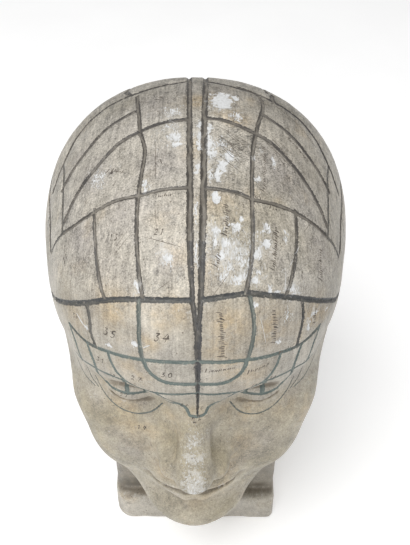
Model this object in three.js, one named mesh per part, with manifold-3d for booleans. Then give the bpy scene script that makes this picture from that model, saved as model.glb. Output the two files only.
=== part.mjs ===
// Phrenology head: a plaster head on a squared neck block, as one solid.
// Millimetres, +Z up, the face looks along -Y, the origin is in the middle of the underside.
// The head is one rounded field: forms are blended or carved, and the surface where the
// field is zero is netted, settled, cut flat underneath and simplified to facets.

import * as THREE from "three";
import Module from "manifold-3d";

// Head
const HEAD_HEIGHT = 228; // chin to crown
const SKULL_BREADTH = 168; // over the widest part, above the ears
const SKULL_LENGTH = 205; // forehead to the back of the head
const CHIN_LIFT = 50; // underside of the block to the chin
const HEAD_FORWARD = 7; // middle of the head in front of the middle of the block
const FEATURES_FRONT = 40; // brow, eyes, nose and mouth all lie in front of this
const EAR_HEIGHT = 62;
const EAR_BREADTH = 34;
const EAR_ANGLE = 20; // degrees between the ear and the side of the skull

// Neck block
const NECK_FLARE = 3; // how much wider the neck is under the jaw than at the foot
const NECK_CORNER_RIGHT = 4; // the +X corner in front
const NECK_CORNER_LEFT = 8; // the -X corner in front, worn rounder
const BACK_CORNER = 8;
const FOOT_WIDTH = 103;
const FOOT_DEPTH = 108;
const FOOT_HEIGHT = 23;
const FOOT_CORNER_RIGHT = 4;
const FOOT_CORNER_LEFT = 11;
const FOOT_EDGE = 2.5; // rounding of the foot's upper edge
const FRONT_LEDGE = 9; // foot in front of the neck
const BACK_LEDGE = 1.5; // foot behind the neck
const SIDE_LEDGE = 0.5; // foot beside the neck, on each side
const NECK_BLEND = 14; // soft join of head and neck
const FOOT_BLEND = 1.5; // soft join of neck and foot

// Surface
const NET_STEP = 2.4;
const DIP = 8; // how far the block is followed under its underside before the cut
const FACET_LIMIT = 9700;
const FIRST_TOLERANCE = 0.06;
const PLASTER = { color: 0xbcae92, roughness: 0.88, metalness: 0 };

// The face and skull are laid out in parts, 228 of them from chin to crown, as (side, front,
// up) from the middle of the eye line, which lies halfway up the head.
const PART = HEAD_HEIGHT / 228;
const EYE_LEVEL = CHIN_LIFT + HEAD_HEIGHT / 2;

const rad = THREE.MathUtils.degToRad;
const clamp = THREE.MathUtils.clamp;

function ellipsoid(q, at, radii) {
  let near = 0;
  let slope = 0;
  for (let i = 0; i < 3; i++) {
    const share = (q[i] - at[i]) / radii[i];
    near += share * share;
    slope += (share / radii[i]) ** 2;
  }
  near = Math.sqrt(near);
  return (near * (near - 1)) / (Math.sqrt(slope) + 1e-9);
}

// A rod with round ends from one point to another, each end with its own radius.
function rod(q, from, to, fromRadius, toRadius) {
  let along = 0;
  let length = 0;
  for (let i = 0; i < 3; i++) {
    along += (q[i] - from[i]) * (to[i] - from[i]);
    length += (to[i] - from[i]) ** 2;
  }
  const t = clamp(along / length, 0, 1);
  let gap = 0;
  for (let i = 0; i < 3; i++) {
    gap += (q[i] - from[i] - t * (to[i] - from[i])) ** 2;
  }
  return Math.sqrt(gap) - fromRadius - t * (toRadius - fromRadius);
}

function blend(a, b, soft) {
  const h = Math.max(soft - Math.abs(a - b), 0) / soft;
  return Math.min(a, b) - (h * h * soft) / 4;
}

function carve(a, b, soft) {
  return -blend(-a, b, soft);
}

function skull(q) {
  const halfBreadth = SKULL_BREADTH / 2 / PART;
  const halfLength = SKULL_LENGTH / 2 / PART;
  const wide = halfBreadth - 1.5 - 0.09 * clamp(q[1], -80, 80);
  const round = 2.2; // a little squarer than an ellipsoid
  const reach = (
    Math.abs(q[0] / wide) ** round +
    Math.abs((q[1] + 9) / (halfLength - 5.5)) ** round +
    Math.abs((q[2] - 30) / 82) ** round
  ) ** (1 / round);
  let d = (reach - 1) * 80;
  d = blend(d, ellipsoid(q, [0, halfLength - 64.5, 38], [halfBreadth - 18, 52, 54]), 22);
  return blend(d, ellipsoid(q, [0, 50.5 - halfLength, 8], [halfBreadth - 22, 50, 48]), 24);
}

function faceMass(q) {
  let d = ellipsoid(q, [0, 32, -30], [57, 51, 64]);
  d = blend(d, ellipsoid(q, [45, 52, -27], [18, 18, 15]), 18); // cheekbone
  d = blend(d, rod(q, [51, 46, -23], [66, 4, -14], 10, 9), 18); // its arch to the ear
  d = blend(d, ellipsoid(q, [35, 50, -54], [24, 26, 30]), 20); // cheek
  d = blend(d, rod(q, [49, 2, -54], [15, 66, -97], 17, 15), 18); // jaw
  d = blend(d, ellipsoid(q, [49, 6, -42], [16, 26, 30]), 18); // back of the jaw
  d = blend(d, ellipsoid(q, [0, 30, -82], [38, 46, 22]), 14); // under the jaw
  d = blend(d, ellipsoid(q, [0, 64, -62], [30, 29, 27]), 10); // round the mouth
  return blend(d, ellipsoid(q, [0, 76, -98], [20, 15, 15.5]), 10); // chin
}

function withBrow(q, d) {
  const ridge = blend(d, rod(q, [9, 82, 17], [48, 64, 19], 7.5, 7.5), 11);
  return carve(ridge, ellipsoid(q, [34, 90, -3], [19, 14, 12]), 9);
}

function withNose(q, d) {
  let nose = rod(q, [0, 75, 9], [0, 99.5, -33], 8, 8.8);
  nose = blend(nose, rod(q, [7, 66, -4], [11, 80, -36], 9, 9.5), 9);
  nose = blend(nose, ellipsoid(q, [0, 102.5, -36.5], [10, 10, 8.8]), 6); // tip
  nose = blend(nose, ellipsoid(q, [11.8, 91, -40], [6.8, 10, 7.6]), 6); // wing
  nose = blend(nose, rod(q, [0, 103, -43], [0, 90, -48], 4.2, 5.2), 3.5);
  nose = blend(nose, ellipsoid(q, [0, 88, -38], [9, 13, 9]), 3); // core
  nose = carve(nose, ellipsoid(q, [6.8, 97, -48.8], [3.2, 5.6, 3.6]), 2); // nostril
  return blend(d, nose, 7);
}

// A closed eye: the upper lid stands a little over the lower one, with a crease above it.
function withEye(q, d) {
  const at = [32, 66.5, -1];
  const ball = ellipsoid(q, at, [13.6, 13.6, 13.6]);
  const front = q[1] - at[1];
  const side = q[0] - at[0] + 0.18 * (front - 12);
  const up = q[2] - at[2] - 0.06 * side;
  const seam = Math.hypot(side, up - 14) - 20;
  const crease = Math.hypot(side, up + 11) - 18.5;
  const reach = front > 0 ? clamp((14 - Math.abs(side)) / 5, 0, 1) : 0;
  let out = blend(d, ball + 0.8 * clamp(seam / 1.6 + 0.5, 0, 1), 4);
  out = carve(out, Math.hypot(seam, out) + 1.5 - 2.8 * (up < 6 ? reach : 0), 1.2);
  return carve(out, Math.hypot(crease, out) + 1.5 - 2.4 * (up > -5 ? reach : 0), 2);
}

function withMouth(q, d) {
  let lips = rod(q, [4.5, 89.3, -60.3], [24, 79, -66.6], 4.6, 2);
  lips = blend(lips, ellipsoid(q, [0, 90.3, -62.3], [5, 4.4, 3.8]), 3);
  lips = blend(lips, rod(q, [4.5, 88, -72], [21.5, 79, -67.8], 5.2, 2.2), 0.8);
  let out = blend(d, lips, 3.5);
  out = carve(out, rod(q, [0, 95.2, -66.4], [25, 81.8, -67.2], 1.7, 1.2), 2);
  out = carve(out, ellipsoid(q, [26.5, 82, -67.6], [2.6, 2.6, 2.6]), 5); // corner
  out = carve(out, rod(q, [0, 94.5, -84], [13, 90, -83], 5.5, 4), 6); // above the chin
  return carve(out, rod(q, [0, 99.5, -49], [0, 99, -56.5], 2.4, 2.8), 3);
}

// The ear has its own directions: up along it, back across it, and out of its plane.
const EAR_UP = new THREE.Vector3(0.1, -Math.sin(rad(12)), Math.cos(rad(12))).normalize();
const EAR_BACK = new THREE.Vector3(Math.sin(rad(EAR_ANGLE)), -Math.cos(rad(EAR_ANGLE)), 0);
EAR_BACK.addScaledVector(EAR_UP, -EAR_BACK.dot(EAR_UP)).normalize();
const EAR_OUT = new THREE.Vector3().crossVectors(EAR_UP, EAR_BACK);
const EAR_AT = new THREE.Vector3(SKULL_BREADTH / 2 / PART - 4, -14, -13);

function withEar(q, d) {
  const gap = new THREE.Vector3(q[0], q[1], q[2]).sub(EAR_AT);
  if (gap.lengthSq() > (0.9 * EAR_HEIGHT) ** 2 / PART ** 2) {
    return d;
  }
  const tall = EAR_HEIGHT / 62 / PART;
  const broad = EAR_BREADTH / 34 / PART;
  const up = gap.dot(EAR_UP) / tall;
  const back = gap.dot(EAR_BACK) / broad;
  const out = gap.dot(EAR_OUT);
  const e = [up, back, out];
  const wide = 16.5 + 0.14 * clamp(up, -30, 20);
  const rim = (Math.hypot(up / 31, back / wide) - 1) * 17;
  let ear = Math.hypot(Math.max(rim + 3, 0), Math.max(Math.abs(out + 3.5) - 2, 0)) - 3;
  const helix = clamp((up + 22) / 12, 0, 1) *
    clamp((back + 13) / 5 + clamp((up - 6) / 8, 0, 1), 0, 1);
  ear = blend(ear, Math.hypot(rim + 2.7, out - 0.6) - 0.2 - 2.7 * helix, 2);
  const inner = (Math.hypot((up + 1) / 17.5, (back + 0.5) / 8.8) - 1) * 11;
  const fold = clamp((back + 5) / 5, 0, 1);
  ear = blend(ear, Math.hypot(inner, out - 0.2) - 0.2 - 2.3 * fold, 2);
  ear = blend(ear, ellipsoid(e, [-24, -4, -2], [8.5, 8, 4.6]), 4); // lobe
  ear = blend(ear, ellipsoid(e, [-2, -2, -9], [25, 13, 9]), 4); // root
  const joined = blend(d, ear, 3);
  const hollow = carve(joined, ellipsoid(e, [-5, -4, 0.5], [11, 7, 6]), 2.5);
  return blend(hollow, ellipsoid(e, [-4, -12, 0.5], [6, 3.6, 4.2]), 2.5);
}

// A rectangle in plan with its own radius at each corner, 0 on its outline.
function plan(x, y, width, front, back, cornerLeft, cornerRight) {
  const middle = (front + back) / 2;
  const corner = y > middle ? BACK_CORNER : x > 0 ? cornerRight : cornerLeft;
  const overX = Math.abs(x) - width / 2 + corner;
  const overY = Math.abs(y - middle) - (back - front) / 2 + corner;
  const outside = Math.hypot(Math.max(overX, 0), Math.max(overY, 0));
  return Math.min(Math.max(overX, overY), 0) + outside - corner;
}

function underTop(outline, z, top, edge) {
  const overSide = outline + edge;
  const overTop = z - top + edge;
  const outside = Math.hypot(Math.max(overSide, 0), Math.max(overTop, 0));
  return Math.min(Math.max(overSide, overTop), 0) + outside - edge;
}

function neck(x, y, z) {
  const top = EYE_LEVEL - 48 * PART;
  const flare = NECK_FLARE * clamp((z - FOOT_HEIGHT) / (top - FOOT_HEIGHT), 0, 1);
  const width = FOOT_WIDTH - 2 * SIDE_LEDGE + flare;
  const front = FRONT_LEDGE - FOOT_DEPTH / 2;
  const back = FOOT_DEPTH / 2 - BACK_LEDGE;
  const outline = plan(x, y, width, front, back, NECK_CORNER_LEFT, NECK_CORNER_RIGHT);
  return underTop(outline, z, top, BACK_CORNER);
}

function foot(x, y, z) {
  const outline = plan(x, y, FOOT_WIDTH, -FOOT_DEPTH / 2, FOOT_DEPTH / 2,
    FOOT_CORNER_LEFT, FOOT_CORNER_RIGHT);
  return underTop(outline, z, FOOT_HEIGHT, FOOT_EDGE);
}

// Distance-like value of the whole casting: negative inside, zero on the surface.
function field(x, y, z) {
  const side = Math.sqrt((x / PART) ** 2 + 1); // both halves alike and smooth in the middle
  const q = [side, -(y + HEAD_FORWARD) / PART, (z - EYE_LEVEL) / PART];
  let d = blend(skull(q), faceMass(q), 20);
  if (q[1] * PART > FEATURES_FRONT) {
    d = withMouth(q, withEye(q, withNose(q, withBrow(q, d))));
  }
  d = blend(d * PART, neck(x, y, z), NECK_BLEND);
  d = withEar(q, d / PART) * PART;
  d = blend(d, foot(x, y, z), FOOT_BLEND);
  return Math.max(d, -DIP / 2 - z);
}

// A net over the zero surface: one point in each grid cell that the surface passes through,
// and one quad round each grid line that it cuts.
function surfaceNet(low, high, step) {
  const count = low.map((from, i) => Math.ceil((high[i] - from) / step) + 1);
  const at = (i, j, k) => i + count[0] * (j + count[1] * k);
  const values = new Float64Array(count[0] * count[1] * count[2]);
  for (let k = 0; k < count[2]; k++) {
    for (let j = 0; j < count[1]; j++) {
      for (let i = 0; i < count[0]; i++) {
        values[at(i, j, k)] = field(low[0] + i * step, low[1] + j * step, low[2] + k * step);
      }
    }
  }
  const points = [];
  const pointOf = new Int32Array(values.length).fill(-1);
  for (let k = 0; k + 1 < count[2]; k++) {
    for (let j = 0; j + 1 < count[1]; j++) {
      for (let i = 0; i + 1 < count[0]; i++) {
        const crossing = cellPoint([i, j, k], at, values);
        if (crossing) {
          pointOf[at(i, j, k)] = points.length / 3;
          points.push(...crossing.map((share, axis) => low[axis] + share * step));
        }
      }
    }
  }
  return { points, faces: netFaces(count, at, values, pointOf) };
}

// Mean of the places where the surface cuts the twelve edges of a cell.
function cellPoint(cell, at, values) {
  const sum = [0, 0, 0];
  let cuts = 0;
  for (let axis = 0; axis < 3; axis++) {
    for (let pair = 0; pair < 4; pair++) {
      const start = [...cell];
      start[(axis + 1) % 3] += pair & 1;
      start[(axis + 2) % 3] += pair >> 1;
      const end = [...start];
      end[axis] += 1;
      const a = values[at(...start)];
      const b = values[at(...end)];
      if (a < 0 !== b < 0) {
        start[axis] += a / (a - b);
        start.forEach((value, i) => (sum[i] += value));
        cuts += 1;
      }
    }
  }
  return cuts > 0 ? sum.map((value) => value / cuts) : null;
}

function netFaces(count, at, values, pointOf) {
  const faces = [];
  for (let k = 1; k + 1 < count[2]; k++) {
    for (let j = 1; j + 1 < count[1]; j++) {
      for (let i = 1; i + 1 < count[0]; i++) {
        for (let axis = 0; axis < 3; axis++) {
          const next = [i, j, k];
          next[axis] += 1;
          const inside = values[at(i, j, k)] < 0;
          if (inside === values[at(...next)] < 0) {
            continue;
          }
          const ring = [[1, 1], [0, 1], [0, 0], [1, 0]].map(([u, v]) => {
            const cell = [i, j, k];
            cell[(axis + 1) % 3] -= u;
            cell[(axis + 2) % 3] -= v;
            return pointOf[at(...cell)];
          });
          if (!inside) {
            ring.reverse();
          }
          faces.push(ring[0], ring[1], ring[2], ring[0], ring[2], ring[3]);
        }
      }
    }
  }
  return faces;
}

// Moves the points of the net onto the surface, each by less than a cell.
function settle(points, step) {
  const h = 0.01;
  for (let n = 0; n < points.length; n += 3) {
    for (let pass = 0; pass < 2; pass++) {
      const [x, y, z] = points.slice(n, n + 3);
      const value = field(x, y, z);
      const slope = new THREE.Vector3(
        field(x + h, y, z) - value,
        field(x, y + h, z) - value,
        field(x, y, z + h) - value,
      ).divideScalar(h);
      const size = Math.max(slope.lengthSq(), 0.2);
      slope.multiplyScalar(-clamp(value / size, -step / 3, step / 3));
      points[n] += slope.x;
      points[n + 1] += slope.y;
      points[n + 2] += slope.z;
    }
  }
}

function toSolid(wasm, points, faces) {
  const mesh = new wasm.Mesh({
    numProp: 3,
    vertProperties: new Float32Array(points),
    triVerts: new Uint32Array(faces),
  });
  mesh.merge();
  return new wasm.Manifold(mesh);
}

// Everything under the table top is taken off, which leaves the flat underside.
function cutUnderside(wasm, solid, depth) {
  const size = 4 * (SKULL_LENGTH + FOOT_DEPTH);
  const slab = new THREE.BoxGeometry(size, size, depth).translate(0, 0, -depth / 2);
  const below = toSolid(wasm, slab.attributes.position.array, slab.index.array);
  return solid.subtract(below);
}

function simplified(solid) {
  let tolerance = FIRST_TOLERANCE;
  let result = solid.simplify(tolerance);
  while (result.numTri() > FACET_LIMIT) {
    tolerance *= 1.04;
    result = solid.simplify(tolerance);
  }
  return result;
}

const wasm = await Module();
wasm.setup();

const room = 4 * NET_STEP;
const halfWidth = Math.max(SKULL_BREADTH / 2 + EAR_BREADTH / 2, FOOT_WIDTH / 2) + room;
const headHalf = SKULL_LENGTH / 2 + 30 * PART;
const low = [
  -halfWidth,
  Math.min(-HEAD_FORWARD - headHalf, -FOOT_DEPTH / 2) - room,
  -DIP,
];
const high = [
  halfWidth,
  Math.max(-HEAD_FORWARD + headHalf, FOOT_DEPTH / 2) + room,
  CHIN_LIFT + HEAD_HEIGHT + room,
];
const net = surfaceNet(low, high, NET_STEP);
settle(net.points, NET_STEP);
const casting = simplified(cutUnderside(wasm, toSolid(wasm, net.points, net.faces), 2 * DIP));

const facets = casting.getMesh();
const geometry = new THREE.BufferGeometry();
geometry.setAttribute("position", new THREE.BufferAttribute(facets.vertProperties, 3));
geometry.setIndex(new THREE.BufferAttribute(facets.triVerts, 1));
geometry.computeVertexNormals();

const head = new THREE.Mesh(geometry, new THREE.MeshStandardMaterial(PLASTER));
head.name = "plaster_head";

const object = new THREE.Group();
object.name = "phrenology_head";
object.add(head);

export default object;
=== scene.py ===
# Phrenology head: the looks of the painted plaster head on its squared neck block.
# The head is worked out in millimetres, +Z up, facing -Y, from the middle of its underside.
import math
import random

import bpy
import numpy as np
from mathutils import Matrix, Vector
from mathutils.bvhtree import BVHTree
from mathutils.kdtree import KDTree


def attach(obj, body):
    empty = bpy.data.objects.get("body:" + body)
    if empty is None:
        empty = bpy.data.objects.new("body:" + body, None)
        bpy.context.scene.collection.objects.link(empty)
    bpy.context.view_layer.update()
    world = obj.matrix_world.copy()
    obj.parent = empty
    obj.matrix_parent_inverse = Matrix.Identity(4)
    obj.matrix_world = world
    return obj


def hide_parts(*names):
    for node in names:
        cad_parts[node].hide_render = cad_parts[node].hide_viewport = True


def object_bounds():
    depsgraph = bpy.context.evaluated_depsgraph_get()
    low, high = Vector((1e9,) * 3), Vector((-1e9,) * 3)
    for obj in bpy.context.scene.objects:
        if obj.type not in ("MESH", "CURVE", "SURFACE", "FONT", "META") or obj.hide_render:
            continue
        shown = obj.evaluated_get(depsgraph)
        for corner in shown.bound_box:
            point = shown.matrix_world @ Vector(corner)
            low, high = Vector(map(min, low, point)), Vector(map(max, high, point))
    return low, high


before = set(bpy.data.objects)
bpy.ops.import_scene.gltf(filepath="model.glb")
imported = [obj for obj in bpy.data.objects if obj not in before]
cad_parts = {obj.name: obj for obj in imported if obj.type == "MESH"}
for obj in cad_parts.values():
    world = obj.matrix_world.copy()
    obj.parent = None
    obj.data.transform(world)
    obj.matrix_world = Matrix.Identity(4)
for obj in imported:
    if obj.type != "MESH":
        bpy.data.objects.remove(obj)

cad_low, cad_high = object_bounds()

# Sizes of the casting, as in the part
FULL_HEIGHT = 276
MM = (cad_high.z - cad_low.z) / FULL_HEIGHT  # metres in a millimetre of the design
HEAD_HEIGHT = 228
SKULL_BREADTH = 168
SKULL_LENGTH = 205
CHIN_LIFT = 50
HEAD_FORWARD = 7
FEATURES_FRONT = 40
EAR_ANGLE = 20
EAR_LEAN = 12
NECK_FLARE = 3
NECK_CORNER_RIGHT = 4
NECK_CORNER_LEFT = 8
BACK_CORNER = 8
FOOT_WIDTH = 103
FOOT_DEPTH = 108
FOOT_HEIGHT = 23
FOOT_CORNER_RIGHT = 4
FOOT_CORNER_LEFT = 11
FOOT_EDGE = 2.5
FRONT_LEDGE = 9
BACK_LEDGE = 1.5
SIDE_LEDGE = 0.5
NECK_BLEND = 14
FOOT_BLEND = 1.5
EYE_LEVEL = CHIN_LIFT + HEAD_HEIGHT / 2
UNDER_EDGE = 2.5  # softness of the worn lower edge
UNDER_BAND = 3  # height of the zone along it

# Mesh: the step of the first net, then the longest edges that are kept on plain parts, near a
# line by the distance from its middle, in chips and along the block's edges
NET_STEP = 3.0
PLAIN_EDGE = 9.0
LINE_EDGES = ((4, 3.4), (2.4, 2.0), (1.9, 1.2))
CHIP_EDGE = 1.5
CHIP_MARGIN = -0.3  # chip value from which the net is fine
BLOCK_EDGE = 2.6
BLOCK_EDGE_REACH = 4  # up and down from the foot's upper edge
BLOCK_EDGE_FRONT = 38  # only on the front of the block
# The same in boxes given by two corners as (side, front, up): face, ears, eyes, mouth, nostrils
FINE_BOXES = (
    ((-1, 50, -112), (60, 150, 22), 3.2),
    ((74, -44, -49), (150, 16, 23), 2.1),
    ((13, 62, -13), (51, 150, 13), 1.4),
    ((-1, 66, -86), (32, 150, -38), 1.4),
    ((-1, 70, -56), (22, 150, -32), 1.4),
)

# Relief: depths of grooves and chips in millimetres, how far the painted shade and dirt in
# hollows and the wear on ridges reach, and the side of each line that its dark core keeps to
# as painted shade on one flank of the groove
GROOVE_DEPTH = 0.8
CHIP_DEPTH = 0.45
HOLLOW_REACH = 6
RIDGE_REACH = 4
# The surface is hollow, or a ridge, where a point that far outside, or inside, is nearer to it
# than this share of the reach. The spans lead from there to fully hollow and to a full ridge.
FLAT_SHARE = 0.95
HOLLOW_SPAN = 2.2
RIDGE_SPAN = 1.5
SHADED_FLANK_SIDE = np.array((1, 0.9, 0.9))
LINE_SNAP = 0.28  # points this close to the middle of a line go onto it
LINE_REACH = 3.5  # no line's paint reaches further from its middle
# Unevenness as (height, size) pairs: of a line's width as shares, and of the whole surface
LINE_WAVES = ((0.1, 11), (0.05, 4))
SURFACE_WAVES = ((0.18, 37), (0.1, 13))

# Places on the head are (side, front, up) from the middle of the eye line. Lines over the
# skull run through (side, angle) points: the angle turns about the skull's own cross axis,
# 0 straight ahead, 90 at the crown and 180 at the back.
AXIS_FRONT = -9
AXIS_UP = 30
SKULL_RADIUS = 90


def ellipsoid(q, at, radii):
    share = (q - at) / radii
    near = np.sqrt((share ** 2).sum(1))
    return near * (near - 1) / (np.sqrt(((share / radii) ** 2).sum(1)) + 1e-9)


def rod(q, start, end, start_radius, end_radius):
    start = np.asarray(start, float)
    along = np.asarray(end, float) - start
    t = np.clip((q - start) @ along / (along @ along), 0, 1)
    gap = np.sqrt(((q - start - t[:, None] * along) ** 2).sum(1))
    return gap - start_radius - t * (end_radius - start_radius)


def blend(a, b, soft):
    h = np.maximum(soft - np.abs(a - b), 0) / soft
    return np.minimum(a, b) - h * h * soft / 4


def carve(a, b, soft):
    return -blend(-a, b, soft)


def rounded(over_a, over_b, radius):
    """A corner between two faces, rounded by a radius."""
    outside = np.hypot(np.maximum(over_a, 0), np.maximum(over_b, 0))
    return np.minimum(np.maximum(over_a, over_b), 0) + outside - radius


def unit(vectors):
    """The same directions with length 1."""
    return vectors / np.linalg.norm(vectors, axis=-1, keepdims=True)


def skull(q):
    half_breadth = SKULL_BREADTH / 2
    half_length = SKULL_LENGTH / 2
    wide = half_breadth - 1.5 - 0.09 * np.clip(q[:, 1], -80, 80)
    power = 2.2
    reach = (
        np.abs(q[:, 0] / wide) ** power
        + np.abs((q[:, 1] + 9) / (half_length - 5.5)) ** power
        + np.abs((q[:, 2] - 30) / 82) ** power
    ) ** (1 / power)
    d = (reach - 1) * 80
    d = blend(d, ellipsoid(q, (0, half_length - 64.5, 38), (half_breadth - 18, 52, 54)), 22)
    return blend(d, ellipsoid(q, (0, 50.5 - half_length, 8), (half_breadth - 22, 50, 48)), 24)


def face_mass(q):
    d = ellipsoid(q, (0, 32, -30), (57, 51, 64))
    d = blend(d, ellipsoid(q, (45, 52, -27), (18, 18, 15)), 18)
    d = blend(d, rod(q, (51, 46, -23), (66, 4, -14), 10, 9), 18)
    d = blend(d, ellipsoid(q, (35, 50, -54), (24, 26, 30)), 20)
    d = blend(d, rod(q, (49, 2, -54), (15, 66, -97), 17, 15), 18)
    d = blend(d, ellipsoid(q, (49, 6, -42), (16, 26, 30)), 18)
    d = blend(d, ellipsoid(q, (0, 30, -82), (38, 46, 22)), 14)
    d = blend(d, ellipsoid(q, (0, 64, -62), (30, 29, 27)), 10)
    return blend(d, ellipsoid(q, (0, 76, -98), (20, 15, 15.5)), 10)


def with_brow(q, d):
    d = blend(d, rod(q, (9, 82, 17), (48, 64, 19), 7.5, 7.5), 11)
    return carve(d, ellipsoid(q, (34, 90, -3), (19, 14, 12)), 9)


def with_nose(q, d):
    nose = rod(q, (0, 75, 9), (0, 99.5, -33), 8, 8.8)
    nose = blend(nose, rod(q, (7, 66, -4), (11, 80, -36), 9, 9.5), 9)
    nose = blend(nose, ellipsoid(q, (0, 102.5, -36.5), (10, 10, 8.8)), 6)
    nose = blend(nose, ellipsoid(q, (11.8, 91, -40), (6.8, 10, 7.6)), 6)
    nose = blend(nose, rod(q, (0, 103, -43), (0, 90, -48), 4.2, 5.2), 3.5)
    nose = blend(nose, ellipsoid(q, (0, 88, -38), (9, 13, 9)), 3)
    nose = carve(nose, ellipsoid(q, (6.8, 97, -48.8), (3.2, 5.6, 3.6)), 2)
    return blend(d, nose, 7)


# A closed eye: the upper lid stands a little over the lower one, with a crease above it.
def with_eye(q, d):
    at = np.array((32, 66.5, -1))
    ball = ellipsoid(q, at, (13.6, 13.6, 13.6))
    front = q[:, 1] - at[1]
    side = q[:, 0] - at[0] + 0.18 * (front - 12)
    up = q[:, 2] - at[2] - 0.06 * side
    seam = np.hypot(side, up - 14) - 20
    crease = np.hypot(side, up + 11) - 18.5
    reach = np.clip((14 - np.abs(side)) / 5, 0, 1) * (front > 0)
    d = blend(d, ball + 0.8 * np.clip(seam / 1.6 + 0.5, 0, 1), 4)
    d = carve(d, np.hypot(seam, d) + 1.5 - 2.8 * reach * (up < 6), 1.2)
    return carve(d, np.hypot(crease, d) + 1.5 - 2.4 * reach * (up > -5), 2)


def with_mouth(q, d):
    lips = rod(q, (4.5, 89.3, -60.3), (24, 79, -66.6), 4.6, 2)
    lips = blend(lips, ellipsoid(q, (0, 90.3, -62.3), (5, 4.4, 3.8)), 3)
    lips = blend(lips, rod(q, (4.5, 88, -72), (21.5, 79, -67.8), 5.2, 2.2), 0.8)
    d = blend(d, lips, 3.5)
    d = carve(d, rod(q, (0, 95.2, -66.4), (25, 81.8, -67.2), 1.7, 1.2), 2)
    d = carve(d, ellipsoid(q, (26.5, 82, -67.6), (2.6, 2.6, 2.6)), 5)
    d = carve(d, rod(q, (0, 94.5, -84), (13, 90, -83), 5.5, 4), 6)
    return carve(d, rod(q, (0, 99.5, -49), (0, 99, -56.5), 2.4, 2.8), 3)


def ear_axes():
    lean = math.radians(EAR_LEAN)
    turn = math.radians(EAR_ANGLE)
    up = unit(np.array((0.1, -math.sin(lean), math.cos(lean))))
    back = np.array((math.sin(turn), -math.cos(turn), 0))
    back = unit(back - up * (back @ up))
    return up, back, np.cross(up, back)


EAR_UP, EAR_BACK, EAR_OUT = ear_axes()
EAR_AT = np.array((SKULL_BREADTH / 2 - 4, -14, -13))
EAR_REACH = 56


def with_ear(q, d):
    gap = q - EAR_AT
    near = (gap ** 2).sum(1) < EAR_REACH ** 2
    up, back, out = (gap[near] @ axis for axis in (EAR_UP, EAR_BACK, EAR_OUT))
    e = np.stack((up, back, out), 1)
    wide = 16.5 + 0.14 * np.clip(up, -30, 20)
    rim = (np.hypot(up / 31, back / wide) - 1) * 17
    ear = np.hypot(np.maximum(rim + 3, 0), np.maximum(np.abs(out + 3.5) - 2, 0)) - 3
    front_stop = np.clip((back + 13) / 5 + np.clip((up - 6) / 8, 0, 1), 0, 1)
    helix = np.clip((up + 22) / 12, 0, 1) * front_stop
    ear = blend(ear, np.hypot(rim + 2.7, out - 0.6) - 0.2 - 2.7 * helix, 2)
    inner = (np.hypot((up + 1) / 17.5, (back + 0.5) / 8.8) - 1) * 11
    fold = np.clip((back + 5) / 5, 0, 1)
    ear = blend(ear, np.hypot(inner, out - 0.2) - 0.2 - 2.3 * fold, 2)
    ear = blend(ear, ellipsoid(e, (-24, -4, -2), (8.5, 8, 4.6)), 4)
    ear = blend(ear, ellipsoid(e, (-2, -2, -9), (25, 13, 9)), 4)
    joined = carve(blend(d[near], ear, 3), ellipsoid(e, (-5, -4, 0.5), (11, 7, 6)), 2.5)
    out_d = d.copy()
    out_d[near] = blend(joined, ellipsoid(e, (-4, -12, 0.5), (6, 3.6, 4.2)), 2.5)
    return out_d


def plan(x, y, width, front, back, corner_left, corner_right):
    middle = (front + back) / 2
    corner = np.where(y > middle, BACK_CORNER, np.where(x > 0, corner_right, corner_left))
    over_x = np.abs(x) - width / 2 + corner
    over_y = np.abs(y - middle) - (back - front) / 2 + corner
    return rounded(over_x, over_y, corner)


def under_top(outline, z, top, edge):
    return rounded(outline + edge, z - top + edge, edge)


def neck(x, y, z):
    top = EYE_LEVEL - 48
    flare = NECK_FLARE * np.clip((z - FOOT_HEIGHT) / (top - FOOT_HEIGHT), 0, 1)
    width = FOOT_WIDTH - 2 * SIDE_LEDGE + flare
    front = FRONT_LEDGE - FOOT_DEPTH / 2
    back = FOOT_DEPTH / 2 - BACK_LEDGE
    outline = plan(x, y, width, front, back, NECK_CORNER_LEFT, NECK_CORNER_RIGHT)
    return under_top(outline, z, top, BACK_CORNER)


def foot(x, y, z):
    outline = plan(x, y, FOOT_WIDTH, -FOOT_DEPTH / 2, FOOT_DEPTH / 2,
                   FOOT_CORNER_LEFT, FOOT_CORNER_RIGHT)
    return under_top(outline, z, FOOT_HEIGHT, FOOT_EDGE)


def head_field(p):
    side = np.sqrt(p[:, 0] ** 2 + 1)
    q = np.stack((side, -(p[:, 1] + HEAD_FORWARD), p[:, 2] - EYE_LEVEL), 1)
    d = blend(skull(q), face_mass(q), 20)
    front = q[:, 1] > FEATURES_FRONT
    q_front = q[front]
    d_front = d[front]
    for add in (with_brow, with_nose, with_eye, with_mouth):
        d_front = add(q_front, d_front)
    d[front] = d_front
    return q, d


# Small breaks in the edges of the block, as (x, y, z) and radii.
NICKS = (
    ((-46, -52, 23), (5, 2.5, 2)),
    ((50, -55, 20), (3, 2.5, 5)),
    ((14, -54.5, 23.5), (7, 2, 1.6)),
    ((-50, -44, 40), (2, 2.5, 7)),
    ((52.5, -46, 62), (1.8, 2.5, 4)),
    ((27, -55, 0), (9, 2.2, 1.8)),
    ((-33, -55, 0), (6, 1.6, 2.4)),
    ((52, 20, 22), (1.6, 8, 2.4)),
    ((-52, 5, 23), (1.8, 6, 2)),
    ((-20, 54, 1), (8, 1.8, 2.5)),
    ((34, 54, 23), (6, 1.6, 2)),
)


def field(p):
    """Distance-like value in millimetres: negative inside, zero on the surface."""
    x, y, z = p.T
    q, d = head_field(p)
    d = with_ear(q, blend(d, neck(x, y, z), NECK_BLEND))
    d = blend(d, foot(x, y, z), FOOT_BLEND)
    for at, radii in NICKS:
        d = carve(d, ellipsoid(p, at, radii), 0.8)
    return carve(d, z, UNDER_EDGE)


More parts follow.
